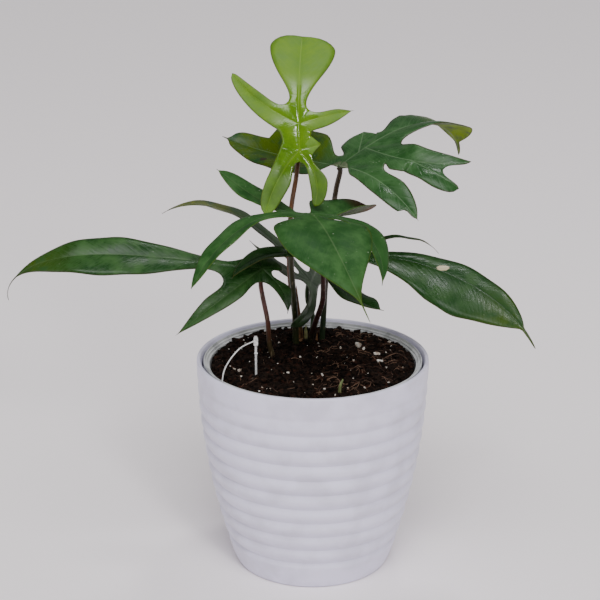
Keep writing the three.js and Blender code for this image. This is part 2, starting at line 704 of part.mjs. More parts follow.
let soil = solidFrom(soilBody());
const holes = [
  ...stalks.map(({ radius, way: [[x, y]] }) => ({ x, y, radius })),
  ...sheaths.map(({ radius, foot: [x, y] }) => ({ x, y, radius: radius + HUSK_LEAN })),
  { x: SPROUT_WAY[0][0], y: SPROUT_WAY[0][1], radius: SPROUT_RADIUS },
  { x: headX, y: headY, radius: FASTENER_PIN.radius },
];
for (const { x, y, radius } of holes) {
  const height = POT_HEIGHT - HOLE_FLOOR;
  const hole = new THREE.CylinderGeometry(radius + HOLE_PLAY, radius + HOLE_PLAY, height, HOLE_SIDES);
  hole.rotateX(Math.PI / 2).translate(x, y, HOLE_FLOOR + height / 2);
  soil = soil.subtract(solidFrom(hole));
}
add("soil", geometryFrom(soil), SOIL_BROWN, 0.95);

export default plant;
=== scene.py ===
"""A young Florida Ghost philodendron in a ribbed cover pot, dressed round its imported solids.

Metres, +Z up, in the frame of the solids: the origin is the centre of the cover pot's underside.
"""

import random
from contextlib import contextmanager
from dataclasses import dataclass
from math import cos, exp, hypot, pi, radians, sin, sqrt, tan
from types import SimpleNamespace

import bpy
from mathutils import Matrix, Vector, kdtree, noise


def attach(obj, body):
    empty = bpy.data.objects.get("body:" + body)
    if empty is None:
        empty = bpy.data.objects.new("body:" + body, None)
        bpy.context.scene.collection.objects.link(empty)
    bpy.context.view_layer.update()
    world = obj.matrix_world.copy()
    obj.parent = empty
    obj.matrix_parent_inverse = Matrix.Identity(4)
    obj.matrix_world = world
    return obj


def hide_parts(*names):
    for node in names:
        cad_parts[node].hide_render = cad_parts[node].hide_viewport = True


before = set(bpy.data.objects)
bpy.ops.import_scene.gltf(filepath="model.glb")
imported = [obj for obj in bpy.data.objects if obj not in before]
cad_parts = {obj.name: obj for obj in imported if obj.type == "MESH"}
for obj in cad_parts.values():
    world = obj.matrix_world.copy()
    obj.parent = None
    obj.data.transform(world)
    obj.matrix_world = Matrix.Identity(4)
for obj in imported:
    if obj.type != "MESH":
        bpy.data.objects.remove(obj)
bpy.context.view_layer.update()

# Camera
# It stands almost a metre in front of the pot and half a metre up, and looks down by nineteen degrees.

CAMERA_PLACE = (-0.0077, -0.9608, 0.4946)
CAMERA_PITCH = 18.82
CAMERA_LENS = 102

bpy.ops.object.camera_add(location=CAMERA_PLACE, rotation=(radians(90 - CAMERA_PITCH), 0, 0))
bpy.context.object.data.lens = CAMERA_LENS
bpy.context.scene.camera = bpy.context.object

# Floor and light
# A plain pale floor that runs out of sight. An even soft light from high up in front, a small bright one
# above the camera for the shine on the young leaf, a weak one from the left, one overhead, and a pale sky.

FLOOR_SIZE = 30
HIGH_LIGHT_AIM = (32, 0, 2)
HIGH_LIGHT_SPREAD = 36
HIGH_LIGHT_POWER = 2.35
LIGHTS = [
    # place, aimed at, width, power, colour
    ((0.6, -1.6, 1.15), (0, 0, 0.2), 0.34, 13, (1, 0.99, 0.98)),
    ((-1.7, -0.8, 0.9), (0, 0, 0.15), 1.2, 6, (0.98, 0.98, 1)),
    ((0.34, 0.42, 1.65), (0.05, 0, 0.2), 0.24, 5.2, (1, 1, 1)),
]

bpy.ops.mesh.primitive_plane_add(size=FLOOR_SIZE)
floor = bpy.context.object
floor.name = "floor"
floor_paint = bpy.data.materials.new("floor_paint")
floor_paint.use_nodes = True
floor_shader = floor_paint.node_tree.nodes["Principled BSDF"]
floor_shader.inputs["Base Color"].default_value = (0.95, 0.895, 0.915, 1)
floor_shader.inputs["Roughness"].default_value = 0.85
floor.data.materials.append(floor_paint)

for place, target, width, power, colour in LIGHTS:
    aim = (Vector(target) - Vector(place)).to_track_quat("-Z", "Y").to_euler()
    bpy.ops.object.light_add(type="AREA", location=place, rotation=aim)
    lamp = bpy.context.object.data
    lamp.shape = "DISK"
    lamp.size = width
    lamp.energy = power
    lamp.color = colour

bpy.ops.object.light_add(type="SUN", rotation=[radians(angle) for angle in HIGH_LIGHT_AIM])
bpy.context.object.data.energy = HIGH_LIGHT_POWER
bpy.context.object.data.angle = radians(HIGH_LIGHT_SPREAD)

sky = bpy.data.worlds.new("studio")
sky.use_nodes = True
sky.node_tree.nodes["Background"].inputs["Color"].default_value = (0.92, 0.89, 0.91, 1)
sky.node_tree.nodes["Background"].inputs["Strength"].default_value = 0.27
bpy.context.scene.world = sky

# Cover pot
# A moulded plastic pot with a satin white finish. The wall narrows towards the foot in rounded bands with
# narrow valleys between them, fading out below the plain rim. It has a thin rounded lip and a flat base.

POT_SIDES = 160
POT_RADIUS = 0.07
POT_HEIGHT = 0.1315
POT_TAPER = 0.0213
POT_TAPER_HEIGHT = 0.1276
POT_WALL = 0.0024
POT_FLOOR = 0.003
RIB_PITCH = 0.0099
RIB_COUNT = 10
FIRST_RIB_DROP = 0.0239
RIB_DEPTH = 0.002
RIB_SAMPLES = 12
FOOT_RADIUS = 0.0447
FOOT_ROUNDING = 0.0026
FOOT_CURVE = 0.001
FOOT_SLOPE = 0.0002
BANDS_START = 0.0045
RIM_BAND = 0.006
INNER_BEAD = 0.0006
INNER_BEAD_DROPS = (0.003, 0.0055)
INNERMOST_RING = 0.002


def pot_radius(height):
    """Outer radius of the plain wall, without its bands."""
    return POT_RADIUS - POT_TAPER * ((POT_HEIGHT - height) / POT_TAPER_HEIGHT) ** 2


def clamp(value):
    """The value, kept between 0 and 1."""
    return min(1, max(0, value))


def rib_depth(height):
    """Depth of the valleys at a height, narrow between the rounded bands."""
    turn = (POT_HEIGHT - FIRST_RIB_DROP - height) / RIB_PITCH
    fade = clamp((turn + 1.6) / 1.9) * clamp((RIB_COUNT - 0.55 - turn) / 0.35)
    return RIB_DEPTH * fade * max(0, 1 - sqrt(sin(pi * turn) ** 2 + 0.02)) ** 1.1


@contextmanager
def edit_mode():
    """Edit mode for the lines that follow in its block."""
    bpy.ops.object.mode_set(mode="EDIT")
    yield
    bpy.ops.object.mode_set(mode="OBJECT")


def turn_out():
    """Turns all faces of the piece in edit mode outwards."""
    bpy.ops.mesh.select_all(action="SELECT")
    bpy.ops.mesh.normals_make_consistent(inside=False)


def pick(*pieces):
    """Selects these pieces alone, with the first one active."""
    bpy.ops.object.select_all(action="DESELECT")
    for piece in reversed(pieces):
        piece.select_set(True)
        bpy.context.view_layer.objects.active = piece


def turned_rings(name, rings, sides):
    """A round shape: a circle that is extruded from ring to ring, each a radius and a height."""
    pick()
    radius, height = rings[0]
    foot = (0, 0, height)
    bpy.ops.mesh.primitive_circle_add(vertices=sides, radius=radius, fill_type="TRIFAN", location=foot)
    piece = bpy.context.object
    piece.name = name
    bpy.ops.object.transform_apply()
    with edit_mode():
        bpy.ops.mesh.select_all(action="DESELECT")
        bpy.ops.mesh.select_mode(type="EDGE")
        bpy.ops.mesh.select_non_manifold()
        for next_radius, next_height in rings[1:]:
            bpy.ops.mesh.extrude_edges_move(TRANSFORM_OT_translate={"value": (0, 0, next_height - height)})
            share = next_radius / radius
            bpy.ops.transform.resize(value=(share, share, 1), center_override=(0, 0, next_height))
            radius, height = next_radius, next_height
        bpy.ops.mesh.merge(type="COLLAPSE")
        turn_out()
    return piece


def smooth(piece, degrees):
    """Smooth shading that keeps edges sharper than the angle."""
    pick(piece)
    bpy.ops.object.shade_smooth_by_angle(angle=radians(degrees))


def fill(socket, value):
    """Sets a shader socket to a value, or links it to an output."""
    if isinstance(value, bpy.types.NodeSocket):
        socket.id_data.links.new(value, socket)
    elif socket.type == "RGBA":
        socket.default_value = (*value[:3], 1)
    else:
        socket.default_value = value


def node(kind, settings=None, **values):
    """Adds a shader node beside the one that it is linked to, with values or links for the named inputs."""
    linked = next(value for value in values.values() if isinstance(value, bpy.types.NodeSocket))
    made = linked.id_data.nodes.new("ShaderNode" + kind)
    for name, value in (settings or {}).items():
        setattr(made, name, value)
    for name, value in values.items():
        fill(made.inputs[name.replace("_", " ")], value)
    return made


def cloud(place, scale, detail, **values):
    """Soft random shade from 0 to 1."""
    return node("TexNoise", Vector=place, Scale=scale, Detail=detail, **values).outputs["Fac"]


def between(value, low, high, start=0, end=1):
    """Takes a value smoothly from start, at low, to end, at high."""
    return node(
        "MapRange", {"interpolation_type": "SMOOTHSTEP"},
        Value=value, From_Min=low, From_Max=high, To_Min=start, To_Max=end,
    ).outputs["Result"]


def blended(share, under, over):
    """The first colour, covered by its share of the second."""
    made = node("Mix", {"data_type": "RGBA"}, Factor=share)
    fill(made.inputs[6], under)
    fill(made.inputs[7], over)
    return made.outputs[2]


def new_finish(name, **constants):
    """A material with its shader's constant values, and the place on the piece that its patterns follow."""
    finish = bpy.data.materials.new(name)
    finish.use_nodes = True
    for label, value in constants.items():
        fill(finish.node_tree.nodes["Principled BSDF"].inputs[label.replace("_", " ")], value)
    return finish, finish.node_tree.nodes.new("ShaderNodeTexCoord").outputs["Object"]


def paint(finish, colour, roughness, relief, strength, depth):
    """Gives a finish its colour, its roughness and its fine relief."""
    bump = node("Bump", Height=relief, Strength=strength, Distance=depth).outputs["Normal"]
    for label, value in (("Base Color", colour), ("Roughness", roughness), ("Normal", bump)):
        fill(finish.node_tree.nodes["Principled BSDF"].inputs[label], value)


def dress(piece, finishes, replaced):
    """Gives a piece its finishes, puts it on the plant and lets it stand for its solid."""
    piece.data.materials.clear()
    for finish in finishes:
        piece.data.materials.append(finish)
    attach(piece, "root")
    if replaced:
        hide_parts(replaced)


pot_rings = [(FOOT_RADIUS, 0)]
for share in (0.25, 0.5, 0.75, 1):
    rise = FOOT_CURVE * share ** 2 + FOOT_SLOPE * share
    pot_rings.append((FOOT_RADIUS + FOOT_ROUNDING * sin(share * pi / 2), rise))
height = BANDS_START
while height < POT_HEIGHT - RIM_BAND:
    pot_rings.append((pot_radius(height) - rib_depth(height), height))
    height += RIB_PITCH / RIB_SAMPLES
lip = POT_WALL / 2
pot_rings.append((POT_RADIUS, POT_HEIGHT - RIM_BAND))
pot_rings += [
    (POT_RADIUS - lip + lip * cos(turn), POT_HEIGHT - lip + lip * sin(turn))
    for turn in (pi * n / 10 for n in range(11))
]
inner_lip = POT_RADIUS - POT_WALL
pot_rings += [(inner_lip - INNER_BEAD, POT_HEIGHT - drop) for drop in INNER_BEAD_DROPS]
for step in range(1, 11):
    height = POT_HEIGHT - RIM_BAND - (POT_HEIGHT - RIM_BAND - POT_FLOOR) * step / 10
    pot_rings.append((pot_radius(height) - POT_WALL, height))
pot_rings.append((INNERMOST_RING, POT_FLOOR))

pot = turned_rings("white_cover_pot", pot_rings, POT_SIDES)
smooth(pot, 40)

pot_plastic, place = new_finish(
    "satin_white_plastic", IOR=1.5, Subsurface_Weight=0.06, Subsurface_Radius=(0.004, 0.004, 0.004)
)
smudge, dust, grain = cloud(place, 22, 6), cloud(place, 60, 8), cloud(place, 900, 2)
white = blended(between(dust, 0.3, 0.62), (0.65, 0.63, 0.77), (0.75, 0.73, 0.9))
paint(pot_plastic, white, between(smudge, 0.3, 0.75, 0.3, 0.44), grain, 0.04, 0.0004)
dress(pot, [pot_plastic], "cover_pot")

# Nursery pot
# The thin grey growing pot that stands inside the cover pot. Only its rim shows, with the concentric
# steps that stiffen it; the wall below narrows to a flat foot.

LINER_RIM_RADIUS = 0.066
LINER_RIM_DROP = 0.0012
LINER_WALL = 0.001
LINER_FOOT_RADIUS = 0.041
LINER_FOOT = 0.0033
LINER_STEP_RADIUS = 0.0628
LINER_STEP_DROP = 0.008
LINER_LEDGE = 0.0015
LINER_EDGE = 0.0004
LINER_STEPS = [(0.0001, 0.0012), (0.0013, 0.0015), (0.0014, 0.0024), (0.0026, 0.0027), (0.0027, 0.004)]

liner_rim = POT_HEIGHT - LINER_RIM_DROP
liner_step = liner_rim - LINER_STEP_DROP
inner_rim = LINER_RIM_RADIUS - LINER_WALL
liner_rings = [
    (LINER_FOOT_RADIUS, LINER_FOOT),
    (LINER_STEP_RADIUS, liner_step),
    (LINER_RIM_RADIUS, liner_step + LINER_LEDGE),
    (LINER_RIM_RADIUS, liner_rim - LINER_EDGE),
    (LINER_RIM_RADIUS - LINER_EDGE, liner_rim),
    (inner_rim + LINER_EDGE / 2, liner_rim),
    (inner_rim, liner_rim - LINER_EDGE),
    *((inner_rim - inset, liner_rim - drop) for inset, drop in LINER_STEPS),
    (LINER_STEP_RADIUS - LINER_WALL, liner_step + LINER_LEDGE),
    (LINER_FOOT_RADIUS - LINER_WALL, LINER_FOOT + LINER_WALL),
    (INNERMOST_RING, LINER_FOOT + LINER_WALL),
]
liner = turned_rings("grey_nursery_pot", liner_rings, 120)
smooth(liner, 25)

liner_plastic, place = new_finish(
    "grey_translucent_plastic", Subsurface_Weight=0.3, Subsurface_Radius=(0.004, 0.004, 0.004)
)
haze = cloud(place, 70, 6)
grey = blended(between(haze, 0.3, 0.7), (0.42, 0.43, 0.44), (0.66, 0.67, 0.68))
paint(liner_plastic, grey, between(haze, 0.3, 0.7, 0.2, 0.42), haze, 0.15, 0.0005)
dress(liner, [liner_plastic], "nursery_pot")

# Soil
# A loose mix of dark peat and bark chips with white perlite grains and a few roots and fibres. It fills the
# nursery pot to just below the rim, a little higher in the middle, and crumbles away from the wall.

SOIL_RADIUS = 0.0613
SOIL_DROP = 0.0032
SOIL_CROWN = 0.0016
SOIL_FOOT = 0.0103
SOIL_FOOT_RADIUS = 0.0405
SOIL_STEP_RADIUS = 0.0606
SOIL_LEDGE = 0.0018
SOIL_RING_STEPS = 50
SOIL_SIDES = 180
CRUMB_COUNT = 2600
PERLITE_COUNT = 110
FIBRE_COUNT = 190
# The larger perlite grains: place across and back, and size, in millimetres.
LARGE_PERLITE = [
    (-20.6, 30.5, 1.4), (17.3, 17.2, 1.8), (28.2, 20.7, 2.8), (31.4, 15.4, 1.8), (38.9, 5.5, 2.4),
    (44.6, 10.6, 1.4), (40.3, -7.3, 2.5), (54.6, -13.5, 1.5), (44.6, 30.5, 1.5), (47.7, 30.5, 1.6),
    (11.6, 8.9, 1.4), (5.5, -27.9, 1.5),
    (-43.6, -20.5, 1.8), (-7.7, -0.9, 1.1), (-3.4, -44.6, 1.1), (37.1, -29.1, 1.1), (44.2, -33.9, 1.1),
    (29.9, -45.7, 1.1), (17.4, -13.5, 1), (24.7, -2.2, 1.2), (-25, -47.7, 1), (-28.5, -17.7, 1),
    (52.9, 3.3, 1.2),
]
# The roots that lie on top, in millimetres across and back.
LARGE_ROOTS = [
    [(7.7, -33.9), (12.1, -31.9), (15.3, -39.8), (13.9, -47)],
    [(-1.9, -45.7), (2.4, -48.8), (5.6, -55.4)],
    [(39.3, 22.9), (46.3, 23.8), (52.7, 27.4)],
    [(17.2, 34.1), (23.4, 31.9), (26.9, 45.6)],
    [(43.8, 3.3), (51.5, 6.3), (57.3, 1.2)],
    [(-32, 5.5), (-29.2, 16.3), (-27.7, 20.7)],
]

soil_top = POT_HEIGHT - SOIL_DROP


def soil_height(x, y):
    """Height of the soil at a place: a low crown, hollows and lumps, and a ragged drop at the wall."""
    share = min(1, hypot(x, y) / SOIL_RADIUS)
    hollow = 0.0014 * noise.noise(Vector((x, y, 0.3)) * 70) + 0.0013 * noise.noise(Vector((x, y, 1.7)) * 210)
    crumbly = 0.0008 * noise.noise(Vector((x, y, 2.9)) * 620)
    ragged = max(0, share - 0.94) / 0.06 * (0.0011 + 0.0016 * noise.noise(Vector((x, y, 5.1)) * 120))
    return soil_top + SOIL_CROWN * (1 - share ** 2) + hollow + crumbly - ragged


soil_rings = [
    (SOIL_FOOT_RADIUS, SOIL_FOOT), (SOIL_STEP_RADIUS, liner_step), (SOIL_RADIUS, liner_step + SOIL_LEDGE)
]
for step in range(SOIL_RING_STEPS):
    soil_rings.append((SOIL_RADIUS * (1 - step / SOIL_RING_STEPS), soil_top + 0.00001 * step))
soil = turned_rings("peat_and_bark", soil_rings, SOIL_SIDES)
for vertex in soil.data.vertices:
    if vertex.co.z > soil_top - 0.0005:
        vertex.co.z = soil_height(vertex.co.x, vertex.co.y)
smooth(soil, 60)


def crumb_shape(name, ruggedness, seed):
    """One crumb: a cube cut finer, rounded and knocked about."""
    pick()
    bpy.ops.mesh.primitive_cube_add(size=1.2)
    crumb = bpy.context.object
    crumb.name = name
    with edit_mode():
        bpy.ops.mesh.subdivide(number_cuts=1)
        bpy.ops.transform.tosphere(value=0.5)
    chance = random.Random(seed)
    for vertex in crumb.data.vertices:
        vertex.co *= 1 + chance.uniform(-ruggedness, ruggedness)
    return crumb


def strewn(name, shapes, places):
    """Copies of the shapes, each at its own place, turn and size, joined into one piece."""
    copies = []
    for n, (place, turn, size) in enumerate(places):
        grain = bpy.data.objects.new(name, shapes[n % len(shapes)].data.copy())
        grain.matrix_world = Matrix.LocRotScale(place, turn, size)
        bpy.context.collection.objects.link(grain)
        copies.append(grain)
    pick(*copies)
    bpy.ops.object.join()
    bpy.ops.object.transform_apply()
    heap = bpy.context.object
    heap.name = name
    return heap


def loose_grain(chance, x, y, size, flatness, sunk):
    """Place, turn and size of one loose grain on the soil."""
    turn = Matrix.Rotation(chance.uniform(0, 2 * pi), 3, "Z") @ Matrix.Rotation(chance.gauss(0, 0.5), 3, "X")
    spread = Vector((size * chance.uniform(0.7, 1.4), size * chance.uniform(0.45, 0.8), size * flatness))
    height = soil_height(x, y) + size * (0.25 - sunk * chance.random())
    return Vector((x, y, height)), turn.to_quaternion(), spread


def anywhere(chance):
    """A random place on the soil."""
    distance, angle = (SOIL_RADIUS - 0.0012) * sqrt(chance.random()), chance.uniform(0, 2 * pi)
    return distance * cos(angle), distance * sin(angle)


chance = random.Random(41)
crumbs = [crumb_shape("crumb", 0.26, seed) for seed in (3, 4, 5, 6)]
chip_places = [
    loose_grain(chance, *anywhere(chance), 0.0007 + 0.0034 * chance.random() ** 3, 0.5, 0.5)
    for _ in range(CRUMB_COUNT)
]
chips = strewn("bark_chips", crumbs, chip_places)
grain_places = [
    loose_grain(chance, *anywhere(chance), 0.0004 + 0.0008 * chance.random() ** 2, 0.8, 0.4)
    for _ in range(PERLITE_COUNT)
]
grain_places += [
    loose_grain(chance, x / 1000, y / 1000, size / 1000, 0.8, 0.1) for x, y, size in LARGE_PERLITE
]
grains = strewn("perlite_grains", crumbs, grain_places)
for crumb in crumbs:
    bpy.data.objects.remove(crumb)

MM = 0.001


def smooth_way(points, steps):
    """A smooth curve through all the points, with its knots spaced by the square root of their distance."""
    points = [Vector(point) for point in points]
    first, last = points[0] * 2 - points[1], points[-1] * 2 - points[-2]
    padded = [first] + points + [last]
    places = []
    for n in range(len(points) - 1):
        knots = [0]
        for near, far in zip(padded[n:], padded[n + 1: n + 4]):
            knots.append(knots[-1] + (far - near).length ** 0.5)
        for step in range(steps):
            t = knots[1] + (knots[2] - knots[1]) * step / steps
            mixed = padded[n: n + 4]
            for spans in (((0, 1), (1, 2), (2, 3)), ((0, 2), (1, 3)), ((1, 2),)):
                mixed = [
                    near.lerp(far, (t - knots[i]) / (knots[j] - knots[i]))
                    for near, far, (i, j) in zip(mixed, mixed[1:], spans)
                ]
            places += mixed
    places.append(points[-1])
    return places


def round_stems(name, ways, sides):
    """Closed round tubes along ways of (place, radius) points, all in millimetres, as one piece."""
    curve = bpy.data.curves.new(name, "CURVE")
    curve.dimensions = "3D"
    curve.twist_mode = "MINIMUM"
    curve.bevel_depth = MM
    curve.bevel_resolution = (sides - 4) // 2
    curve.use_fill_caps = True
    for way in ways:
        line = curve.splines.new("POLY")
        line.points.add(len(way) - 1)
        for point, (place, radius) in zip(line.points, way):
            point.co = (*(place * MM), 1)
            point.radius = radius
    stem = bpy.data.objects.new(name, curve)
    bpy.context.collection.objects.link(stem)
    pick(stem)
    bpy.ops.object.convert(target="MESH")
    with edit_mode():
        bpy.ops.mesh.select_all(action="SELECT")
        bpy.ops.mesh.remove_doubles(threshold=0.000001)
        turn_out()
    smooth(stem, 50)
    return stem


def lying_root(places, radius, rise):
    """A root along places on the soil, thinner towards its end, with its middle lifted off by rise."""
    way = smooth_way([
        (x, y, soil_height(x * MM, y * MM) / MM + radius + rise * sin(pi * n / (len(places) - 1)))
        for n, (x, y) in enumerate(places)
    ], 5)
    return [(place, radius * (1 - 0.6 * n / len(way))) for n, place in enumerate(way)]


root_ways = [lying_root(places, 0.28, 1.2) for places in LARGE_ROOTS]
for n in range(FIBRE_COUNT):
    x, y = anywhere(chance)
    if chance.random() < 0.7:
        x = abs(x)
    heading, turn, step = chance.uniform(0, 2 * pi), chance.gauss(0, 0.35), chance.uniform(1.2, 3)
    places = []
    x, y = x / MM, y / MM
    while len(places) < 6 and hypot(x, y) < SOIL_RADIUS / MM - 2:
        places.append((x, y))
        x, y, heading = x + step * cos(heading), y + step * sin(heading), heading + turn
    if len(places) > 2:
        root_ways.append(lying_root(places, chance.uniform(0.11, 0.23), chance.uniform(0.2, 1.4)))
roots = round_stems("fine_roots", root_ways, 4)

peat, place = new_finish("dark_peat", Specular_IOR_Level=0.1)
crumb_shade = node("TexVoronoi", Vector=place, Scale=620).outputs["Color"]
shade = node("SeparateXYZ", Vector=crumb_shade).outputs["X"]
earth = blended(between(shade, 0.2, 0.9), (0.003, 0.0018, 0.0013), (0.017, 0.009, 0.006))
rusty = blended(between(cloud(place, 260, 4), 0.55, 0.72), earth, (0.04, 0.015, 0.009))
paint(peat, rusty, 0.92, cloud(place, 1400, 6), 0.8, 0.0006)
dress(soil, [peat], "soil")
dress(chips, [peat], None)

perlite, place = new_finish("white_perlite")
stained = blended(between(cloud(place, 500, 4), 0.4, 0.65), (0.78, 0.74, 0.68), (0.38, 0.29, 0.22))
paint(perlite, stained, 0.9, cloud(place, 2500, 3), 0.5, 0.0004)
dress(grains, [perlite], None)

root_skin, place = new_finish("red_brown_root")
brown = blended(between(cloud(place, 90, 3), 0.35, 0.65), (0.05, 0.021, 0.012), (0.21, 0.115, 0.07))
paint(root_skin, brown, 0.8, cloud(place, 1800, 2), 0.3, 0.0003)
dress(roots, [root_skin], None)

# Newest leaf
# The young lime green leaf that stands upright above the rest, with a fan-like end lobe. A blade is one sheet
# of living tissue on the top of its stalk. It is drawn from the midribs of its lobes, in millimetres.

BLADE_THICKNESS = 0.7
MARGIN_THICKNESS = 0.3
ROW_STEP = 1.7
FINE_STEPS = 168
COLUMNS = 8
COLUMN_CROWD = 1.55
FLAT_CENTRE = 6
DRIP_TIP_WIDTH = 0.07
EDGE_WAVE = 0.6
WAVE_LENGTH = 30
BAY_ROWS = 1.1
BAY_FLARE = 13
BLADE_BULGE = 0.05
MARGIN_WIDTH = 4
MIDRIB_WIDTH = 0.85
MIDRIB_RIDGE = 0.75
MIDRIB_GROOVE = 0.22
STALK_FOOT = 117
STALK_STUB = 2.4
STALK_END = 0.85
STALK_TAPER = 0.22
STALK_FLARE = 0.12


@dataclass
class Lobe:
    """One lobe's measures. Angles are in degrees, and widths past the first two are shares of those."""

    name: str
    web: float  # from the fork to the bay between this lobe and the next
    turn: float  # direction in the blade's plane, 0 ahead and + to the left
    length: float
    left: float  # greatest half-width on either side
    right: float
    full: float  # where it is widest, as a share of the length, as all places along it are
    tip: float  # from 0.4, blunt, to 2, drawn out
    neck: float  # width at the root
    grows: str = None  # the lobe that it forks from, if it isn't the centre, and where along that
    at: float = 0
    swell: float = 1.6  # how late it widens
    drip: float = 0.03  # length of the thread-like tip
    thread: float = 0.1  # width of that tip where it starts
    notch: float = 0  # how far the rounded shoulders reach past the tip
    droop: float = 0  # total bend down, to the left and about the midrib
    sweep: float = 0
    twist: float = 0
    bend: float = 1.5  # how late it droops
    fold: float = 10  # rise of the sides
    nicks: tuple = ()  # steps in the margin, as side, start, end and depth, which heal towards the end
    # On the newest leaf's feet the olive tone is painted shade, not a turned colour.
    olive: tuple = (0, 0.5)  # how far it has turned that colour, and where that sets in
    brown: tuple = (0, 0.5)
    way: list = None  # from the stalk's end to the tip, as steps of vertex, lobe and station
    rows: int = 0  # how many of those are its own


@dataclass
class Leaf:
    """A leaf's centre, how it is turned, its stalk, and its lobes from the stalk's right to its left."""

    name: str
    at: tuple
    heading: float
    pitch: float
    roll: float
    stalk: float  # the stalk's radius, and the places that it passes on its way up
    way: list
    lobes: list


NEW_LEAF = Leaf("new_leaf", at=(-8, 0, 259), heading=90, pitch=73, roll=0,
    stalk=1.5, way=[(-11, 29, 128), (-11, 25, 147), (-14, 13, 180), (-13, 6, 221), (-10, 9, 240)], lobes=[
    # Both feet take the darker olive tone from 0.15 of their length on: painted shade on the hanging feet.
    Lobe("right_foot", 8, -141, 36, 6.5, 4, 0.47, 0.4, 0.6, drip=0.02, droop=-1, sweep=-58, twist=3,
         olive=(0.8, 0.15)),
    Lobe("tooth", 12, -77, 13, 3, 3, 0.4, 1, 0.8, drip=0.04, droop=-1, sweep=6),
    Lobe("right_arm", 10, -74, 33, 4, 6, 0.34, 1.05, 0.7, grows="end", at=0.22, drip=0.04, droop=-1,
         sweep=-8, twist=-1),
    Lobe("end", 14, 2, 73, 18, 20, 0.85, 1.05, 0.05, swell=4.8, drip=0, notch=3, droop=42, sweep=-8, twist=3,
         bend=1.3, fold=2),
    Lobe("left_arm", 11, 64, 49, 8, 4.5, 0.15, 0.5, 0.7, grows="end", at=0.2, drip=0, droop=-6, sweep=-27,
         twist=10, fold=13),
    Lobe("left_foot", 7, 140, 44, 7.5, 6, 0.47, 0.4, 0.75, swell=1.5, droop=-14, sweep=29, twist=1, fold=11,
         olive=(0.8, 0.15)),
])


def turned_pair(a, b, angle):
    """The pair of unit vectors a and b, turned about their common normal, a towards b."""
    return a * cos(angle) + b * sin(angle), b * cos(angle) - a * sin(angle)


def leaf_axes(leaf):
    """A leaf's centre and its own axes: forward along the end lobe, side to the left, up out of the face."""
    heading, pitch, roll = map(radians, (leaf.heading, leaf.pitch, leaf.roll))
    level = cos(pitch)
    forward = Vector((level * cos(heading), level * sin(heading), sin(pitch)))
    side = Vector((-sin(heading), cos(heading), 0))
    side, up = turned_pair(side, forward.cross(side), roll)
    return SimpleNamespace(point=Vector(leaf.at), forward=forward, side=side, up=up)


def lobe_fall(lobe, s):
    """How far a lobe is past its widest place at s, from 0 there to 1 where its thread-like tip starts."""
    return clamp((s - lobe.full) / (1 - lobe.drip - lobe.full))


def lobe_width(lobe, s):
    """Half-width at s, from 0 at the root to 1 at the tip, as a share of the greatest half-width."""
    taper = DRIP_TIP_WIDTH * (1 - s)
    if s < lobe.full:
        rise = sin(pi / 2 * s / lobe.full) ** lobe.swell
        return lobe.neck + (1 - lobe.neck) * rise + taper
    body = (1 - lobe_fall(lobe, s) ** 2) ** lobe.tip + taper
    return max(body, lobe.thread * sqrt(1 - s))


def margin_left(lobe, side, s):
    """What is left of the width at s beside the nicks in one margin."""
    left = 1
    for nicked, start, end, depth in lobe.nicks:
        if nicked == side and start < s < end:
            cut = min(1, (s - start) / 0.015)
            healed = (s - start) / (end - start)
            left *= 1 - depth * cut * (1 - healed ** 3) ** 2
    return left


def lobe_stations(lobe, root):
    """Stations along a lobe's midrib from its root to its tip, with the edge points on both sides."""
    count = max(6, round(lobe.length / ROW_STEP))
    forward, side = turned_pair(root.forward, root.side, radians(lobe.turn))
    up, point = root.up.copy(), root.point.copy()
    length = lobe.length
    before = (0, 0, 0)
    stations = []
    for i in range(FINE_STEPS + 1):
        s = i / FINE_STEPS
        bent = clamp((s * length - FLAT_CENTRE) / (length - FLAT_CENTRE))
        now = radians(lobe.droop) * bent ** lobe.bend, radians(lobe.sweep) * bent, radians(lobe.twist) * bent
        if i:
            up, forward = turned_pair(up, forward, now[0] - before[0])
            forward, side = turned_pair(forward, side, now[1] - before[1])
            side, up = turned_pair(side, up, now[2] - before[2])
            point = point + forward * (length / FINE_STEPS)
        before = now
        wave = EDGE_WAVE * sin(2 * pi * s * length / WAVE_LENGTH + lobe.turn) * min(1, 2 * bent)
        lift = tan(radians(lobe.fold)) * min(1, 4 * bent)
        shoulder = forward * (lobe.notch * sin(pi * lobe_fall(lobe, s) ** 1.5))
        edges = []
        for margin, sign in (("left", 1), ("right", -1)):
            width = lobe_width(lobe, s) * margin_left(lobe, margin, s)
            half = getattr(lobe, margin) * width
            edges.append(point + shoulder + side * (sign * half) + up * (lift * half + wave * width))
        stations.append(SimpleNamespace(
            point=point, forward=forward, side=side, up=up, left=edges[0], right=edges[1]
        ))
    return [stations[round(k * FINE_STEPS / count)] for k in range(count + 1)]


def bay_curve(start, start_pull, end, end_pull, u):
    """Curve that leaves the bay across its middle line and runs into the lobe's own edge."""
    return (
        start * (2 * u ** 3 - 3 * u ** 2 + 1) + start_pull * (u ** 3 - 2 * u ** 2 + u)
        + end * (3 * u ** 2 - 2 * u ** 3) + end_pull * (u ** 3 - u ** 2)
    )


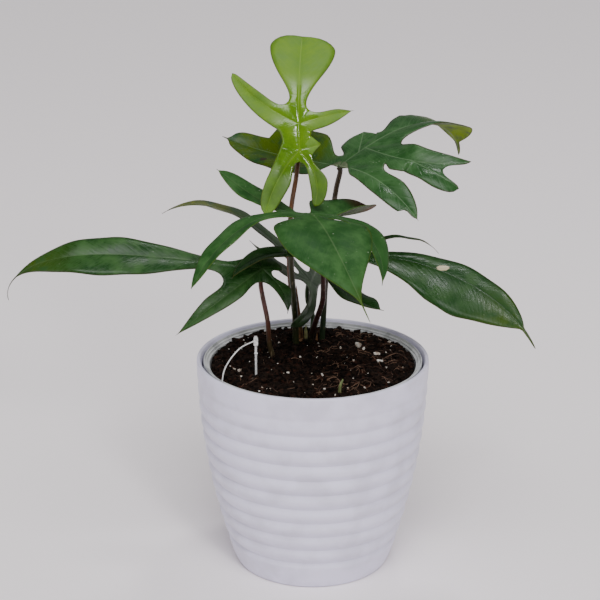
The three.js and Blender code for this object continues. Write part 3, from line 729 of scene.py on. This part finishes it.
def leaf_sheet(leaf):
    """The middle surface of a blade: its points, with the distance from a midrib, the share of the way to the
    tip and the shares of its olive and brown tones at each, and its faces, with each corner's place along and
    across its lobe."""
    centre = leaf_axes(leaf)
    points, hues = [centre.point], [(0, 0, 0, 0)]

    def add_point(place, distance, share, lobe):
        turned = ((lobe.olive, lobe.brown) if lobe else ((0, 0), (0, 0)))
        points.append(place)
        hues.append((distance, share, *(most * clamp((share - start) * 5 + 0.5) for most, start in turned)))
        return len(points) - 1

    grown = {}
    while len(grown) < len(leaf.lobes):
        for lobe in leaf.lobes:
            if lobe.name in grown or (lobe.grows and lobe.grows not in grown):
                continue
            root, lobe.way = centre, [(0, lobe, centre)]
            if lobe.grows:
                parent = grown[lobe.grows]
                before_tip = round(lobe.at * (parent.rows - 1)) - parent.rows
                lobe.way = parent.way[: before_tip + 1]
                root = lobe.way[-1][2]
            stations = lobe_stations(lobe, root)
            lobe.rows = len(stations)
            for k, station in enumerate(stations[1:], 1):
                lobe.way.append((add_point(station.point, 0, k / (lobe.rows - 1), lobe), lobe, station))
            grown[lobe.name] = lobe

    faces = []
    for lobe, following in zip(leaf.lobes, leaf.lobes[1:] + leaf.lobes[:1]):
        fork = 0
        while lobe.way[fork + 1][0] == following.way[fork + 1][0]:
            fork += 1
        halves = lobe.way[fork:], following.way[fork:]
        root = points[lobe.way[fork][0]]
        rows = max(1, round(BAY_ROWS * lobe.web / ROW_STEP))
        leads = [(points[half[min(rows, len(half) - 1)][0]] - root).normalized() for half in halves]
        middle = (leads[0] + leads[1]).normalized()
        bay = root + middle * lobe.web
        seam = [lobe.way[fork][0]]
        for k in range(1, rows + 1):
            seam.append(add_point(root.lerp(bay, k / rows), lobe.web, 0, None))
        for half, side, lead in zip(halves, ("left", "right"), leads):
            faces += half_lobe(half, side, rows, seam, bay, middle, lead, points, add_point)
    return points, hues, faces


def half_lobe(half, side, rows, seam, bay, middle, lead, points, add_point):
    """Faces of one half of a lobe, between its midrib and its edge, from the fork out to the tip."""
    last = len(half) - 1
    flare = min(last - 1, rows + round(BAY_FLARE / ROW_STEP))

    def own_edge(k):
        return getattr(half[k][2], side)

    reach = (own_edge(flare) - bay).length
    across = (lead - middle * lead.dot(middle)).normalized() * reach
    along = (own_edge(flare) - own_edge(flare - 1)).normalized() * reach
    travelled = [0]
    for before, after in zip(half, half[1:]):
        travelled.append(travelled[-1] + (points[after[0]] - points[before[0]]).length)
    grid = []
    for k, (vertex, lobe, station) in enumerate(half):
        share = travelled[k] / travelled[-1]
        if k == 0 or k == last:
            grid.append([(vertex, travelled[k], 0)] * (COLUMNS + 1))
            continue
        if k <= rows:
            rim = points[seam[k]]
        elif k >= flare:
            rim = own_edge(k)
        else:
            rim = bay_curve(bay, across, own_edge(flare), along, (k - rows) / (flare - rows))
        rib = points[vertex]
        span = (rim - rib).length
        row = [(vertex, travelled[k], 0)]
        for j in range(1, COLUMNS + 1):
            t = (j / COLUMNS) ** COLUMN_CROWD
            if j == COLUMNS and k <= rows:
                row.append((seam[k], travelled[k], span))
                continue
            place = rib.lerp(rim, t) + station.up * (4 * t * (1 - t) * BLADE_BULGE * span)
            row.append((add_point(place, t * span, share, lobe), travelled[k], t * span))
        grid.append(row)
    faces = []
    sign = 1 if side == "left" else -1
    for near, far in zip(grid, grid[1:]):
        for j in range(COLUMNS):
            corners = [near[j], far[j], far[j + 1], near[j + 1]]
            if side == "right":
                corners.reverse()
            kept = list(dict.fromkeys(corners))
            if len(kept) > 2:
                faces.append([(vertex, along, sign * across) for vertex, along, across in kept])
    return faces


def leaf_blade(leaf, upper, underside):
    """The thick blade: an upper skin, an underside with its raised midribs, and the margin between them."""
    points, hues, faces = leaf_sheet(leaf)
    count = len(points)
    normals = [Vector() for _ in points]
    sides = {}
    for face in faces:
        a, b, c = (points[corner[0]] for corner in face[:3])
        for near, far in zip(face, face[1:] + face[:1]):
            normals[near[0]] += (b - a).cross(c - a)
            if sides.pop((far[0], near[0]), None) is None:
                sides[near[0], far[0]] = near, far
    tree = kdtree.KDTree(len(sides))
    for n, (vertex, _) in enumerate(sides):
        tree.insert(points[vertex], n)
    tree.balance()
    from_margin = [tree.find(point)[2] for point in points]

    top, bottom = [], []
    for point, normal, (off_rib, tip_share, *_), inward in zip(points, normals, hues, from_margin):
        body = min(1, inward / MARGIN_WIDTH)
        half = (MARGIN_THICKNESS + (BLADE_THICKNESS - MARGIN_THICKNESS) * body) / 2
        near_rib = exp(-((off_rib / MIDRIB_WIDTH) ** 2)) * body * (1 - 0.75 * tip_share)
        normal.normalize()
        top.append((point + normal * (half - MIDRIB_GROOVE * near_rib)) * MM)
        bottom.append((point - normal * (half + MIDRIB_RIDGE * near_rib)) * MM)

    def below(corner):
        return corner[0] + count, *corner[1:]

    skins = faces + [[below(corner) for corner in reversed(face)] for face in faces]
    skins += [[near, below(near), below(far), far] for near, far in sides.values()]
    mesh = bpy.data.meshes.new(leaf.name)
    mesh.from_pydata(top + bottom, [], [[corner[0] for corner in skin] for skin in skins])
    mesh.uv_layers.new(name="veins").data.foreach_set(
        "uv", [value for skin in skins for corner in skin for value in corner[1:]]
    )
    for label, values in zip(("margin", "tip", "olive", "brown"), (from_margin, *list(zip(*hues))[1:])):
        mesh.attributes.new(label, "FLOAT", "POINT").data.foreach_set("value", list(values) * 2)
    blade = bpy.data.objects.new(leaf.name + "_lobes", mesh)
    bpy.context.collection.objects.link(blade)
    dress(blade, [upper, underside], leaf.name + "_blade")
    mesh.polygons.foreach_set("material_index", [0] * len(faces) + [1] * len(faces) + [0] * len(sides))
    mesh.polygons.foreach_set("use_smooth", [True] * len(skins))
    mesh.update()


def leaf_stalk(leaf, skin):
    """A leaf's stalk: thickest at its foot, slimmer further up and a little flared below the blade."""
    centre = leaf_axes(leaf)
    stub, end = (centre.point - centre.up * below for below in (STALK_STUB, STALK_END))
    places = smooth_way([(*leaf.way[0][:2], STALK_FOOT), *leaf.way, stub, end], 12)
    steps = []
    for n, place in enumerate(places):
        s = n / (len(places) - 1)
        share = 1.06 - STALK_TAPER * s ** 1.5 + STALK_FLARE * max(0, (s - 0.93) / 0.07)
        steps.append((place, leaf.stalk * share))
    stalk = round_stems(leaf.name + "_petiole", [steps], 14)
    dress(stalk, [skin], leaf.name + "_stalk")


def reckon(kind, first, *others):
    """A sum on an output and more outputs or values."""
    made = node("Math", {"operation": kind}, Value=first)
    for socket, value in zip(made.inputs[1:], others):
        fill(socket, value)
    return made.outputs[0]


def vector_sum(kind, place, other):
    """A sum on a place and a constant vector."""
    made = node("VectorMath", {"operation": kind}, Vector=place)
    made.inputs[1].default_value = other
    return made.outputs[0]


def leaf_skin(
    name, deep, pale, vein, gloss, edge=(0.035, 0.035, 0.01), olive=(0.045, 0.085, 0.002), relief=0.3,
    raised=-1, veined=0.02, rib_share=0.25, speckle=0.2, spacing=5, lean=1.2, dull_tips=0, shine=0.22,
    scar=None,
):
    """One side of a blade: mottled green with a midrib, slanting side veins, streaks and a coloured edge.
    The veins stand out on an underside, where raised is 1, and sink in on an upper side, where it is -1."""
    skin, place = new_finish(name, Specular_IOR_Level=shine)
    shares = []
    for label in ("veins", "margin", "tip", "olive", "brown"):
        reader = skin.node_tree.nodes.new("ShaderNodeAttribute")
        reader.attribute_name = label
        shares.append(reader.outputs["Vector" if label == "veins" else "Fac"])
    vein_place, margin, tip, olive_share, brown_share = shares
    along, across = node("SeparateXYZ", Vector=vein_place).outputs[:2]
    off_rib = reckon("ABSOLUTE", across)
    ahead = reckon("MULTIPLY", off_rib, reckon("MULTIPLY_ADD", off_rib, 0.016, lean))
    slant = reckon("SUBTRACT", along, ahead)
    rows = node("CombineXYZ", X=slant, Y=reckon("MULTIPLY", across, 0.13)).outputs[0]
    swell = node(
        "TexWave", Vector=rows, Scale=0.314 / spacing, Distortion=4, Detail=2, Detail_Scale=0.9
    ).outputs["Fac"]
    side_vein = reckon("MULTIPLY", between(swell, 0.88, 1), between(off_rib, 0.3, 1.6))
    streaks = cloud(rows, 1.5, 4)
    rib_width = reckon("MULTIPLY_ADD", tip, -0.45, 0.8)
    midrib = between(reckon("DIVIDE", off_rib, rib_width), 0.4, 1, 1, 0)
    mottle = cloud(place, 95, 7, Roughness=0.62)
    patches = cloud(place, 26, 3)

    # Olive tone on the lobes that take it: real yellowing on the old leaves, painted shade on the newest
    # leaf's feet, and partly a painted glow on the undersides.
    aged_tone_and_painted_light = blended(between(mottle, 0.38, 0.66), olive, deep)
    dots = node("TexVoronoi", Vector=place, Scale=420).outputs["Distance"]
    rare = between(cloud(place, 120, 2), 0.52, 0.66)
    layers = [
        (between(mottle, 0.34, 0.67), pale),
        (between(patches, 0.42, 0.7, 0, 0.5), deep),
        (between(streaks, 0.5, 0.75, 0, 0.3), pale),
        (reckon("MULTIPLY", side_vein, veined), vein),
        (olive_share, aged_tone_and_painted_light),
        (reckon("MULTIPLY", midrib, rib_share), vein),
        (reckon("MULTIPLY", between(dots, 0.08, 0.2, speckle, 0), rare), (0.5, 0.54, 0.42)),
        (between(margin, 0.15, 0.7, 0.85, 0), edge),
        (brown_share, (0.13, 0.06, 0.028)),
    ]
    if scar:
        centre, size, stretch, hue = scar
        shaped = vector_sum("MULTIPLY", vector_sum("SUBTRACT", place, centre), stretch)
        reach = node("VectorMath", {"operation": "LENGTH"}, Vector=shaped).outputs["Value"]
        ragged = reckon("MULTIPLY_ADD", cloud(place, 420, 3), size * 0.9, reach)
        layers.append((between(ragged, size * 1.25, size * 1.45, 1, 0), hue))
    flesh = deep
    for share, colour in layers:
        flesh = blended(share, flesh, colour)

    worn = reckon("ADD", reckon("MULTIPLY", mottle, 0.5), reckon("MULTIPLY", streaks, 0.5))
    gloss_here = between(worn, 0.36, 0.62, gloss[0], gloss[1])
    tips = between(tip, 0.32, 0.55)
    roughness = reckon("MULTIPLY_ADD", tips, dull_tips, gloss_here)
    grain = cloud(place, 1500, 3)
    height = reckon("MULTIPLY", side_vein, 0.35 * raised)
    for layer, share in ((swell, 0.1 * raised), (streaks, 0.4), (mottle, 0.7), (grain, 0.12)):
        height = reckon("MULTIPLY_ADD", layer, share, height)
    paint(skin, flesh, roughness, height, relief, 0.0004)
    return skin


def stalk_skin(name, low, high, turns_from, turns_to):
    """Skin of a stalk: one colour below and another above, streaked lengthways, with small pale pores."""
    skin, place = new_finish(name, Specular_IOR_Level=0.45)
    stretched = vector_sum("MULTIPLY", place, (1, 1, 0.16))
    streak = cloud(stretched, 700, 4)
    height = node("SeparateXYZ", Vector=place).outputs["Z"]
    height = reckon("MULTIPLY_ADD", cloud(place, 120, 3), 0.02, height)
    bark = blended(between(height, turns_from + 0.01, turns_to + 0.01), low, high)
    bark = blended(between(streak, 0.42, 0.68, 0, 0.5), bark, tuple(0.4 * part for part in low))
    pores = node("TexVoronoi", Vector=stretched, Scale=560).outputs["Distance"]
    bark = blended(between(pores, 0.12, 0.24, 0.45, 0), bark, (0.24, 0.19, 0.12))
    paint(skin, bark, between(streak, 0.35, 0.65, 0.32, 0.52), reckon("ADD", streak, pores), 0.35, 0.0004)
    return skin


# Here the olive colour, darker than the leaf, is painted shade on the two hanging feet, the only lobes of
# this leaf that take it.
young_upper = leaf_skin(
    "young_leaf_upper", deep=(0.07, 0.17, 0), pale=(0.11, 0.22, 0), vein=(0.22, 0.33, 0.02),
    gloss=(0.07, 0.2), edge=(0.07, 0.1, 0.004), olive=(0.045, 0.11, 0), relief=0.18, veined=0.04,
    rib_share=0.2, speckle=0, spacing=6.5, lean=0.6, dull_tips=0.5, shine=0.5,
)
young_under = leaf_skin(
    "young_leaf_under", deep=(0.13, 0.23, 0.006), pale=(0.18, 0.28, 0.012), vein=(0.27, 0.36, 0.06),
    gloss=(0.4, 0.55), edge=(0.12, 0.15, 0.02), olive=(0.08, 0.11, 0.002), relief=0.25, raised=1, veined=0.15,
    rib_share=0.75, speckle=0, spacing=6.5, lean=0.6, shine=0.2,
)
leaf_blade(NEW_LEAF, young_upper, young_under)
leaf_stalk(NEW_LEAF, stalk_skin("young_stalk", (0.026, 0.032, 0.012), (0.125, 0.05, 0.02), 0.15, 0.185))

# Upper leaf
# The dark green leaf at the upper right, with a forked arm, a long end lobe that curls over to show its
# underside, and a broad olive foot that reaches behind the newest leaf. It grows on a brown stalk.

UPPER_LEAF = Leaf("upper_leaf", at=(15, 16, 245), heading=27, pitch=30, roll=-1,
    stalk=1.7, way=[(6, 35, 130), (7, 33, 147), (8, 30, 168), (11.5, 25, 210), (14, 20, 231)], lobes=[
    Lobe("near_foot", 32, -78, 72, 8, 8.5, 0.65, 0.75, 0.4, swell=1.8, droop=60, sweep=-16, twist=8,
         bend=1.3, nicks=(("right", 0.845, 1, 0.62),)),
    Lobe("near_fork", 20, -18, 34, 2, 8.5, 0.55, 0.4, 0.95, grows="near_arm", at=0.5, drip=0.02, droop=35,
         sweep=4, twist=12, bend=1.3, fold=11),
    Lobe("near_arm", 22, -87, 72, 11.5, 11, 0.29, 1, 0.85, grows="end", at=0.175, swell=1.5, drip=0,
         droop=45, sweep=67, twist=17, bend=0.8),
    Lobe("end", 22, -5, 120, 16, 19.5, 0.68, 1.2, 0.25, swell=2, drip=0.09, thread=0.3, droop=94, sweep=39,
         twist=8, nicks=(("left", 0.3, 0.42, 0.1), ("left", 0.5, 0.62, 0.12)), olive=(1, 0.58)),
    Lobe("far_arm", 12, 52, 24, 12.5, 10.5, 0.43, 0.7, 0.7, grows="end", at=0.12, drip=0.04, twist=3,
         bend=1.4, fold=6),
    Lobe("far_foot", 5, 98, 93, 17.5, 20, 0.41, 0.5, 0.5, drip=0.05, droop=-45, sweep=29, twist=6, bend=1.6,
         fold=16, nicks=(("right", 0.69, 0.98, 0.42),), olive=(1, 0.2)),
])

upper_skin = leaf_skin(
    "upper_leaf_upper", deep=(0.013, 0.056, 0.011), pale=(0.038, 0.104, 0.029), vein=(0.12, 0.2, 0.1),
    gloss=(0.18, 0.42), edge=(0.05, 0.035, 0.014), olive=(0.055, 0.1, 0.001), relief=0.35, veined=0.08,
    rib_share=0.5, speckle=0.25, spacing=7, lean=1.3,
    scar=((-0.0302, 0.0475, 0.2417), 0.0013, (0.5, 0.65, 0.65), (0.03, 0.024, 0.008)),
)
# Its olive is partly the real yellowing of old lobes and partly a painted glow: it is made brighter for light
# shining through the thin curled tips.
mature_under = leaf_skin(
    "mature_leaf_under", deep=(0.065, 0.09, 0.045), pale=(0.105, 0.13, 0.075), vein=(0.17, 0.2, 0.12),
    gloss=(0.5, 0.65), edge=(0.07, 0.06, 0.012), olive=(0.16, 0.25, 0.001), relief=0.2, raised=1, veined=0.2,
    rib_share=0.75, speckle=0, spacing=4, lean=0.6, shine=0.08,
)
leaf_blade(UPPER_LEAF, upper_skin, mature_under)
leaf_stalk(UPPER_LEAF, stalk_skin("brown_stalk", (0.02, 0.04, 0.016), (0.055, 0.033, 0.022), 0.14, 0.175))

# Front leaf
# The broadest leaf, with a soft velvety shine. It arches towards the front and hangs down to a fine tip. One
# foot has gone brown at its end. It grows on an olive stalk.

FRONT_LEAF = Leaf("front_leaf", at=(-5, -18, 226), heading=-68, pitch=16, roll=-11,
    stalk=1.7, way=[(-10, 22, 131), (-11, 15, 158), (-13, 6, 190), (-12, 2, 205), (-8, -13, 215)], lobes=[
    Lobe("right_foot", 16, -156, 67, 8.5, 10, 0.47, 0.7, 0.6, droop=-55, sweep=35, twist=-35, bend=0.9,
         fold=5),
    Lobe("right_arm", 21, -82, 89, 10.5, 10, 0.45, 0.8, 0.6, swell=1.7, drip=0.01, droop=68, sweep=4,
         twist=-15, bend=0.8, fold=8),
    Lobe("end", 23, -7, 106, 24.5, 28.5, 0.41, 1.8, 0.6, swell=1.8, drip=0.09, thread=0.05, droop=74,
         sweep=23, twist=14, bend=0.8, fold=0, olive=(0.6, 0.82)),
    Lobe("left_arm", 18, 42, 76, 12, 12, 0.48, 1.05, 0.6, droop=92, sweep=-14, twist=6, bend=1.4),
    Lobe("left_foot", 6, 111, 52, 17, 18, 0.47, 0.4, 0.6, drip=0.02, droop=-21, sweep=-6, twist=9, bend=1.2,
         fold=24, brown=(1, 0.86)),
])

front_skin = leaf_skin(
    "front_leaf_upper", deep=(0.012, 0.055, 0.01), pale=(0.042, 0.112, 0.03), vein=(0.11, 0.17, 0.07),
    gloss=(0.4, 0.56), edge=(0.05, 0.09, 0.01), relief=0.12, veined=0.03, rib_share=0.28, speckle=0.5,
    spacing=7, lean=1, shine=0.08,
)
leaf_blade(FRONT_LEAF, front_skin, mature_under)
leaf_stalk(FRONT_LEAF, stalk_skin("olive_stalk", (0.026, 0.032, 0.01), (0.05, 0.045, 0.018), 0.15, 0.2))

# Left leaf
# Dark and glossy, with one long end lobe that runs level to the left and ends in a thread-like tip. It grows
# on a short red-brown stalk.

LEFT_LEAF = Leaf("left_leaf", at=(-30, -10, 190), heading=177, pitch=21, roll=-40,
    stalk=1.5, way=[(-24, 4, 129), (-26, 3, 137), (-27, 0, 153), (-31, -2, 177)], lobes=[
    Lobe("right_foot", 10, -148, 15, 5, 5, 0.5, 1, 0.6, drip=0.04, droop=58, sweep=-11, twist=-2, bend=1.3),
    Lobe("end", 25, 16, 172, 15, 11.5, 0.53, 1.65, 0.05, swell=2.7, drip=0.11, droop=109, sweep=5, twist=13,
         bend=3.9, fold=5, olive=(0.7, 0.7)),
    Lobe("left_arm", 9, 61, 67, 6.5, 7.5, 0.25, 1.1, 0.6, droop=34, sweep=-5, twist=-3, bend=1.4, fold=11),
    Lobe("left_foot", 6, 155, 33, 6.5, 5.5, 0.33, 1.1, 0.6, drip=0.04, droop=68, sweep=-15, twist=-12,
         bend=1.4, fold=11),
])

left_skin = leaf_skin(
    "left_leaf_upper", deep=(0.006, 0.036, 0.005), pale=(0.03, 0.088, 0.018), vein=(0.08, 0.14, 0.055),
    gloss=(0.2, 0.44),
)
leaf_blade(LEFT_LEAF, left_skin, mature_under)
leaf_stalk(LEFT_LEAF, stalk_skin("red_brown_stalk", (0.045, 0.032, 0.014), (0.1, 0.028, 0.02), 0.135, 0.16))

# Right leaf
# Dark and glossy, with one long broad end lobe that runs down to the right, a dark sunken midrib and a small
# dry tan scar beside it. It grows on a dark red-brown stalk.

RIGHT_LEAF = Leaf("right_leaf", at=(6, -5, 196), heading=-3, pitch=-12, roll=20,
    stalk=1.7, way=[(-2, 28, 129), (2, 19, 147), (6, 9, 164), (6, 3, 182)], lobes=[
    Lobe("right_foot", 10, -176, 61, 6, 6, 0.6, 0.85, 0.6, droop=43, sweep=50, twist=18, bend=2.1, fold=12),
    Lobe("right_arm", 14, -67, 72, 7.5, 8, 0.73, 1.1, 0.55, swell=1.7, drip=0.04, droop=-30, sweep=22,
         twist=-3, bend=1.1),
    Lobe("end", 20, 28, 156, 11, 27, 0.56, 0.9, 0.05, swell=2.4, drip=0.11, thread=0.15, droop=-17,
         sweep=-97, twist=19, bend=1.6, fold=0, olive=(0.6, 0.72)),
    Lobe("left_arm", 8, 46, 108, 1.5, 1.5, 0.49, 1.2, 0.6, drip=0.04, droop=50, sweep=-6, bend=1.8),
])

right_skin = leaf_skin(
    "right_leaf_upper", deep=(0.005, 0.034, 0.004), pale=(0.018, 0.062, 0.01), vein=(0.006, 0.028, 0.005),
    gloss=(0.16, 0.36), edge=(0.05, 0.055, 0.01), relief=0.27, veined=0.04, rib_share=0.75, speckle=0.15,
    lean=1.1, dull_tips=0.08, shine=0.2,
    scar=((0.0773, 0.0015, 0.1867), 0.0021, (0.5, 1, 1), (0.46, 0.38, 0.25)),
)
leaf_blade(RIGHT_LEAF, right_skin, mature_under)
leaf_stalk(RIGHT_LEAF, stalk_skin("dark_red_stalk", (0.02, 0.022, 0.01), (0.045, 0.014, 0.012), 0.13, 0.15))

# Inner leaf
# An older leaf low in the middle, mostly hidden by the others. Its thin lobes show their undersides and a
# yellow-green tip. It grows on a short green stalk.

INNER_LEAF = Leaf("inner_leaf", at=(-1, 34, 167), heading=143, pitch=41, roll=16,
    stalk=1.5, way=[(0, 38, 130), (0, 39, 145), (-3, 38, 154)], lobes=[
    Lobe("right_arm", 10, -70, 40, 7, 7, 0.5, 1.2, 0.35, drip=0.04, droop=30),
    Lobe("end", 10, 8, 111, 8, 7.5, 0.52, 0.8, 0.5, droop=77, sweep=20, twist=5, bend=2.3, fold=11,
         olive=(1, 0.6)),
    Lobe("left_arm", 8, 62, 53, 7.5, 4.5, 0.45, 1.25, 0.6, drip=0.04, droop=-4, sweep=-34, twist=-1, fold=5),
    Lobe("left_foot", 6, 129, 44, 4, 4, 0.79, 1.05, 0.55, swell=1.7, drip=0.04, droop=136, sweep=9,
         twist=-20, bend=2, fold=11),
])

inner_skin = leaf_skin(
    "inner_leaf_upper", deep=(0.014, 0.042, 0.01), pale=(0.04, 0.082, 0.03), vein=(0.08, 0.12, 0.06),
    gloss=(0.36, 0.5), olive=(0.1, 0.115, 0.002), rib_share=0.3, speckle=0.1, shine=0.9,
)
leaf_blade(INNER_LEAF, inner_skin, mature_under)
leaf_stalk(INNER_LEAF, stalk_skin("green_stalk", (0.014, 0.03, 0.012), (0.03, 0.065, 0.02), 0.125, 0.145))

# Stem sheaths
# The papery husks that each young leaf grew out of. They stand at the foot of the stalks, folded lengthways,
# open at one side and drawn to a point: a tall tan one, a fresh pale one and a short torn stub.

HUSK_FOOT = 121
HUSK_SIDES = 18
HUSK_SKIN = 0.22
# Share of the length and of the greatest radius, ring by ring.
HUSK_RINGS = [
    (0, 0.8), (0.1, 1), (0.25, 1), (0.4, 0.94), (0.55, 0.84), (0.7, 0.66), (0.84, 0.42), (0.94, 0.2),
    (1, 0.06),
]


def select_faces(piece, wanted):
    """Selects only the faces that are wanted, for the edit that follows."""
    with edit_mode():
        bpy.ops.mesh.select_mode(type="FACE")
        bpy.ops.mesh.select_all(action="DESELECT")
    for face in piece.data.polygons:
        face.select = wanted(face)


def folded_husk(name, foot, tip, radius, opening, facing):
    """A thin tube of papery skin, slit open above its foot, pointed, creased and slightly crumpled."""
    base = Vector((*foot, HUSK_FOOT)) * MM
    axis = Vector(tip) * MM - base
    pick()
    bpy.ops.mesh.primitive_circle_add(
        vertices=HUSK_SIDES, radius=radius * HUSK_RINGS[0][1] * MM, fill_type="NOTHING"
    )
    husk = bpy.context.object
    husk.name = name
    with edit_mode():
        bpy.ops.mesh.select_all(action="SELECT")
        for (before, old), (after, new) in zip(HUSK_RINGS, HUSK_RINGS[1:]):
            lift, top = (after - before) * axis.length, (0, 0, after * axis.length)
            bpy.ops.mesh.extrude_edges_move(TRANSFORM_OT_translate={"value": (0, 0, lift)})
            bpy.ops.transform.resize(value=(new / old, new / old, 1), center_override=top)
    slit = Vector((cos(radians(facing)), sin(radians(facing))))
    select_faces(husk, lambda face: (
        face.center.z > 0.3 * axis.length and face.center.xy.normalized().dot(slit) > opening
    ))
    with edit_mode():
        bpy.ops.mesh.delete(type="FACE")
    for vertex in husk.data.vertices:
        crease = noise.noise(Vector((vertex.co.x * 900, vertex.co.y * 900, vertex.co.z * 160)))
        vertex.co.xy *= 1 + 0.22 * crease
    husk.modifiers.new("thickness", "SOLIDIFY").thickness = HUSK_SKIN * MM
    husk.modifiers.new("rounding", "SUBSURF").render_levels = 1
    for name in ("thickness", "rounding"):
        bpy.ops.object.modifier_apply(modifier=name)
    husk.matrix_world = Matrix.Translation(base) @ axis.to_track_quat("Z", "Y").to_matrix().to_4x4()
    bpy.ops.object.transform_apply()
    smooth(husk, 60)
    return husk


def husk_skin(name, dull, bright, edge):
    """Papery skin with lengthwise fibres, blotched."""
    skin, place = new_finish(name, Subsurface_Weight=0.2, Subsurface_Radius=(0.002, 0.001, 0.0005))
    fibres = cloud(vector_sum("MULTIPLY", place, (1, 1, 0.08)), 1900, 4)
    paper = blended(between(fibres, 0.35, 0.65), dull, bright)
    blotch = between(cloud(place, 210, 4), 0.52, 0.7, 0, 0.7)
    paint(skin, blended(blotch, paper, edge), between(fibres, 0.3, 0.7, 0.5, 0.75), fibres, 0.5, 0.0004)
    return skin


tan_paper = husk_skin("tan_husk_paper", (0.24, 0.12, 0.05), (0.46, 0.25, 0.12), (0.1, 0.045, 0.02))
fresh_paper = husk_skin("fresh_husk_paper", (0.36, 0.4, 0.14), (0.56, 0.56, 0.28), (0.24, 0.22, 0.08))
tall = folded_husk("tan_husk", (-7, 31), (-10, 26, 168), 2, 0.35, -60)
fresh = folded_husk("fresh_husk", (-4, 33), (-4, 31, 141), 1.7, 0.5, 40)
stub = folded_husk("husk_stub", (2, 32), (3, 31, 136), 0.9, 0.2, -100)
dress(tall, [tan_paper], "dry_sheath")
dress(fresh, [fresh_paper], "fresh_sheath")
dress(stub, [tan_paper], "short_sheath")

# Sprout
# A small green shoot that leans out of the soil near the front, thicker at its foot, with a blunt pale tip.

SPROUT_WAY = [(15, -53, 121), (15, -53, 129), (15.6, -52.7, 133.5), (17, -52, 137)]
SPROUT_RADIUS = 1.1
SPROUT_TAPER = 0.25

way = smooth_way(SPROUT_WAY, 8)
shoot = []
for n, place in enumerate(way):
    rounded = sqrt(max(0.02, 1 - (n / (len(way) - 1)) ** 6))
    shoot.append((place, SPROUT_RADIUS * rounded * (1 - SPROUT_TAPER * n / len(way))))
sprout = round_stems("green_sprout", [shoot], 12)
sprout_skin = stalk_skin("sprout_skin", (0.06, 0.075, 0.02), (0.17, 0.21, 0.07), 0.126, 0.136)
dress(sprout, [sprout_skin], "sprout")

# Tag fastener
# A thin clear nylon loop that comes up from between the two pots and runs into a small white lock head. Its
# pin, with a stop bead, stands in the soil under the head. It is moulded in one piece and keeps its shape.

LOOP_WAY = [(-52.9, -40.3, 123), (-52.9, -40.3, 131), (-51, -39, 139), (-43, -35, 149), (-34, -29, 152)]
LOOP_RADIUS = 0.4
HEAD_PLACE = (-33.5, -29, 152)
HEAD_SIZE = (2.6, 2.4, 5.5)
HEAD_NUB = 1.1
HEAD_SHOULDER = 0.45
HEAD_ROUNDING = 0.16
RECESS_EDGE = 0.6
RECESS_DEPTH = 0.35
BEAD_DROP = 8
BEAD_RADIUS = 1.1
PIN_RADIUS = 0.7
PIN_LENGTH = 31

head_centre = Vector(HEAD_PLACE)
loop_way = [(place, LOOP_RADIUS) for place in smooth_way(LOOP_WAY, 10)]
pin_way = []
for drop in range(2, PIN_LENGTH + 1):
    taper = min(1, (PIN_LENGTH - drop + 0.6) / 5)
    pin_way.append((head_centre - Vector((0, 0, drop)), PIN_RADIUS * taper))
nylon = [round_stems("nylon_loop", [loop_way], 10), round_stems("nylon_pin", [pin_way], 12)]

pick()
bpy.ops.mesh.primitive_cube_add(size=MM, location=(head_centre - Vector((0, 0, HEAD_NUB / 2))) * MM)
head = bpy.context.object
head.name = "lock_head"
head.scale = (HEAD_SIZE[0], HEAD_SIZE[1], HEAD_SIZE[2] - HEAD_NUB)
bpy.ops.object.transform_apply()
select_faces(head, lambda face: face.normal.z > 0.9)
with edit_mode():
    bpy.ops.mesh.inset(thickness=HEAD_SHOULDER * MM)
    bpy.ops.mesh.extrude_region_move(TRANSFORM_OT_translate={"value": (0, 0, HEAD_NUB * MM)})
select_faces(head, lambda face: abs(face.normal.y) > 0.9 and face.area > 5 * MM * MM)
with edit_mode():
    bpy.ops.mesh.inset(thickness=RECESS_EDGE * MM, depth=-RECESS_DEPTH * MM, use_individual=True)
    bpy.ops.mesh.select_all(action="SELECT")
    bpy.ops.mesh.bevel(offset=HEAD_ROUNDING * MM, segments=2, affect="EDGES")
    turn_out()
smooth(head, 40)
nylon.append(head)

pick()
bead_place = (head_centre - Vector((0, 0, BEAD_DROP))) * MM
bpy.ops.mesh.primitive_uv_sphere_add(segments=20, ring_count=12, radius=BEAD_RADIUS * MM, location=bead_place)
bead = bpy.context.object
with edit_mode():
    bpy.ops.transform.resize(value=(1, 1, 0.8), center_override=bead_place)
bpy.ops.object.transform_apply()
smooth(bead, 60)
nylon.append(bead)

pick(*nylon)
bpy.ops.object.join()
fastener = bpy.context.object
fastener.name = "nylon_tag_fastener"

clear_nylon, place = new_finish(
    "clear_nylon", IOR=1.53, Transmission_Weight=0.25, Subsurface_Weight=0.3, Subsurface_Radius=(0.001,) * 3
)
haze = cloud(place, 400, 3)
milky = blended(between(haze, 0.35, 0.65), (0.74, 0.74, 0.74), (0.88, 0.88, 0.87))
paint(clear_nylon, milky, between(haze, 0.3, 0.7, 0.18, 0.36), haze, 0.1, 0.0003)
dress(fastener, [clear_nylon], "tag_fastener")
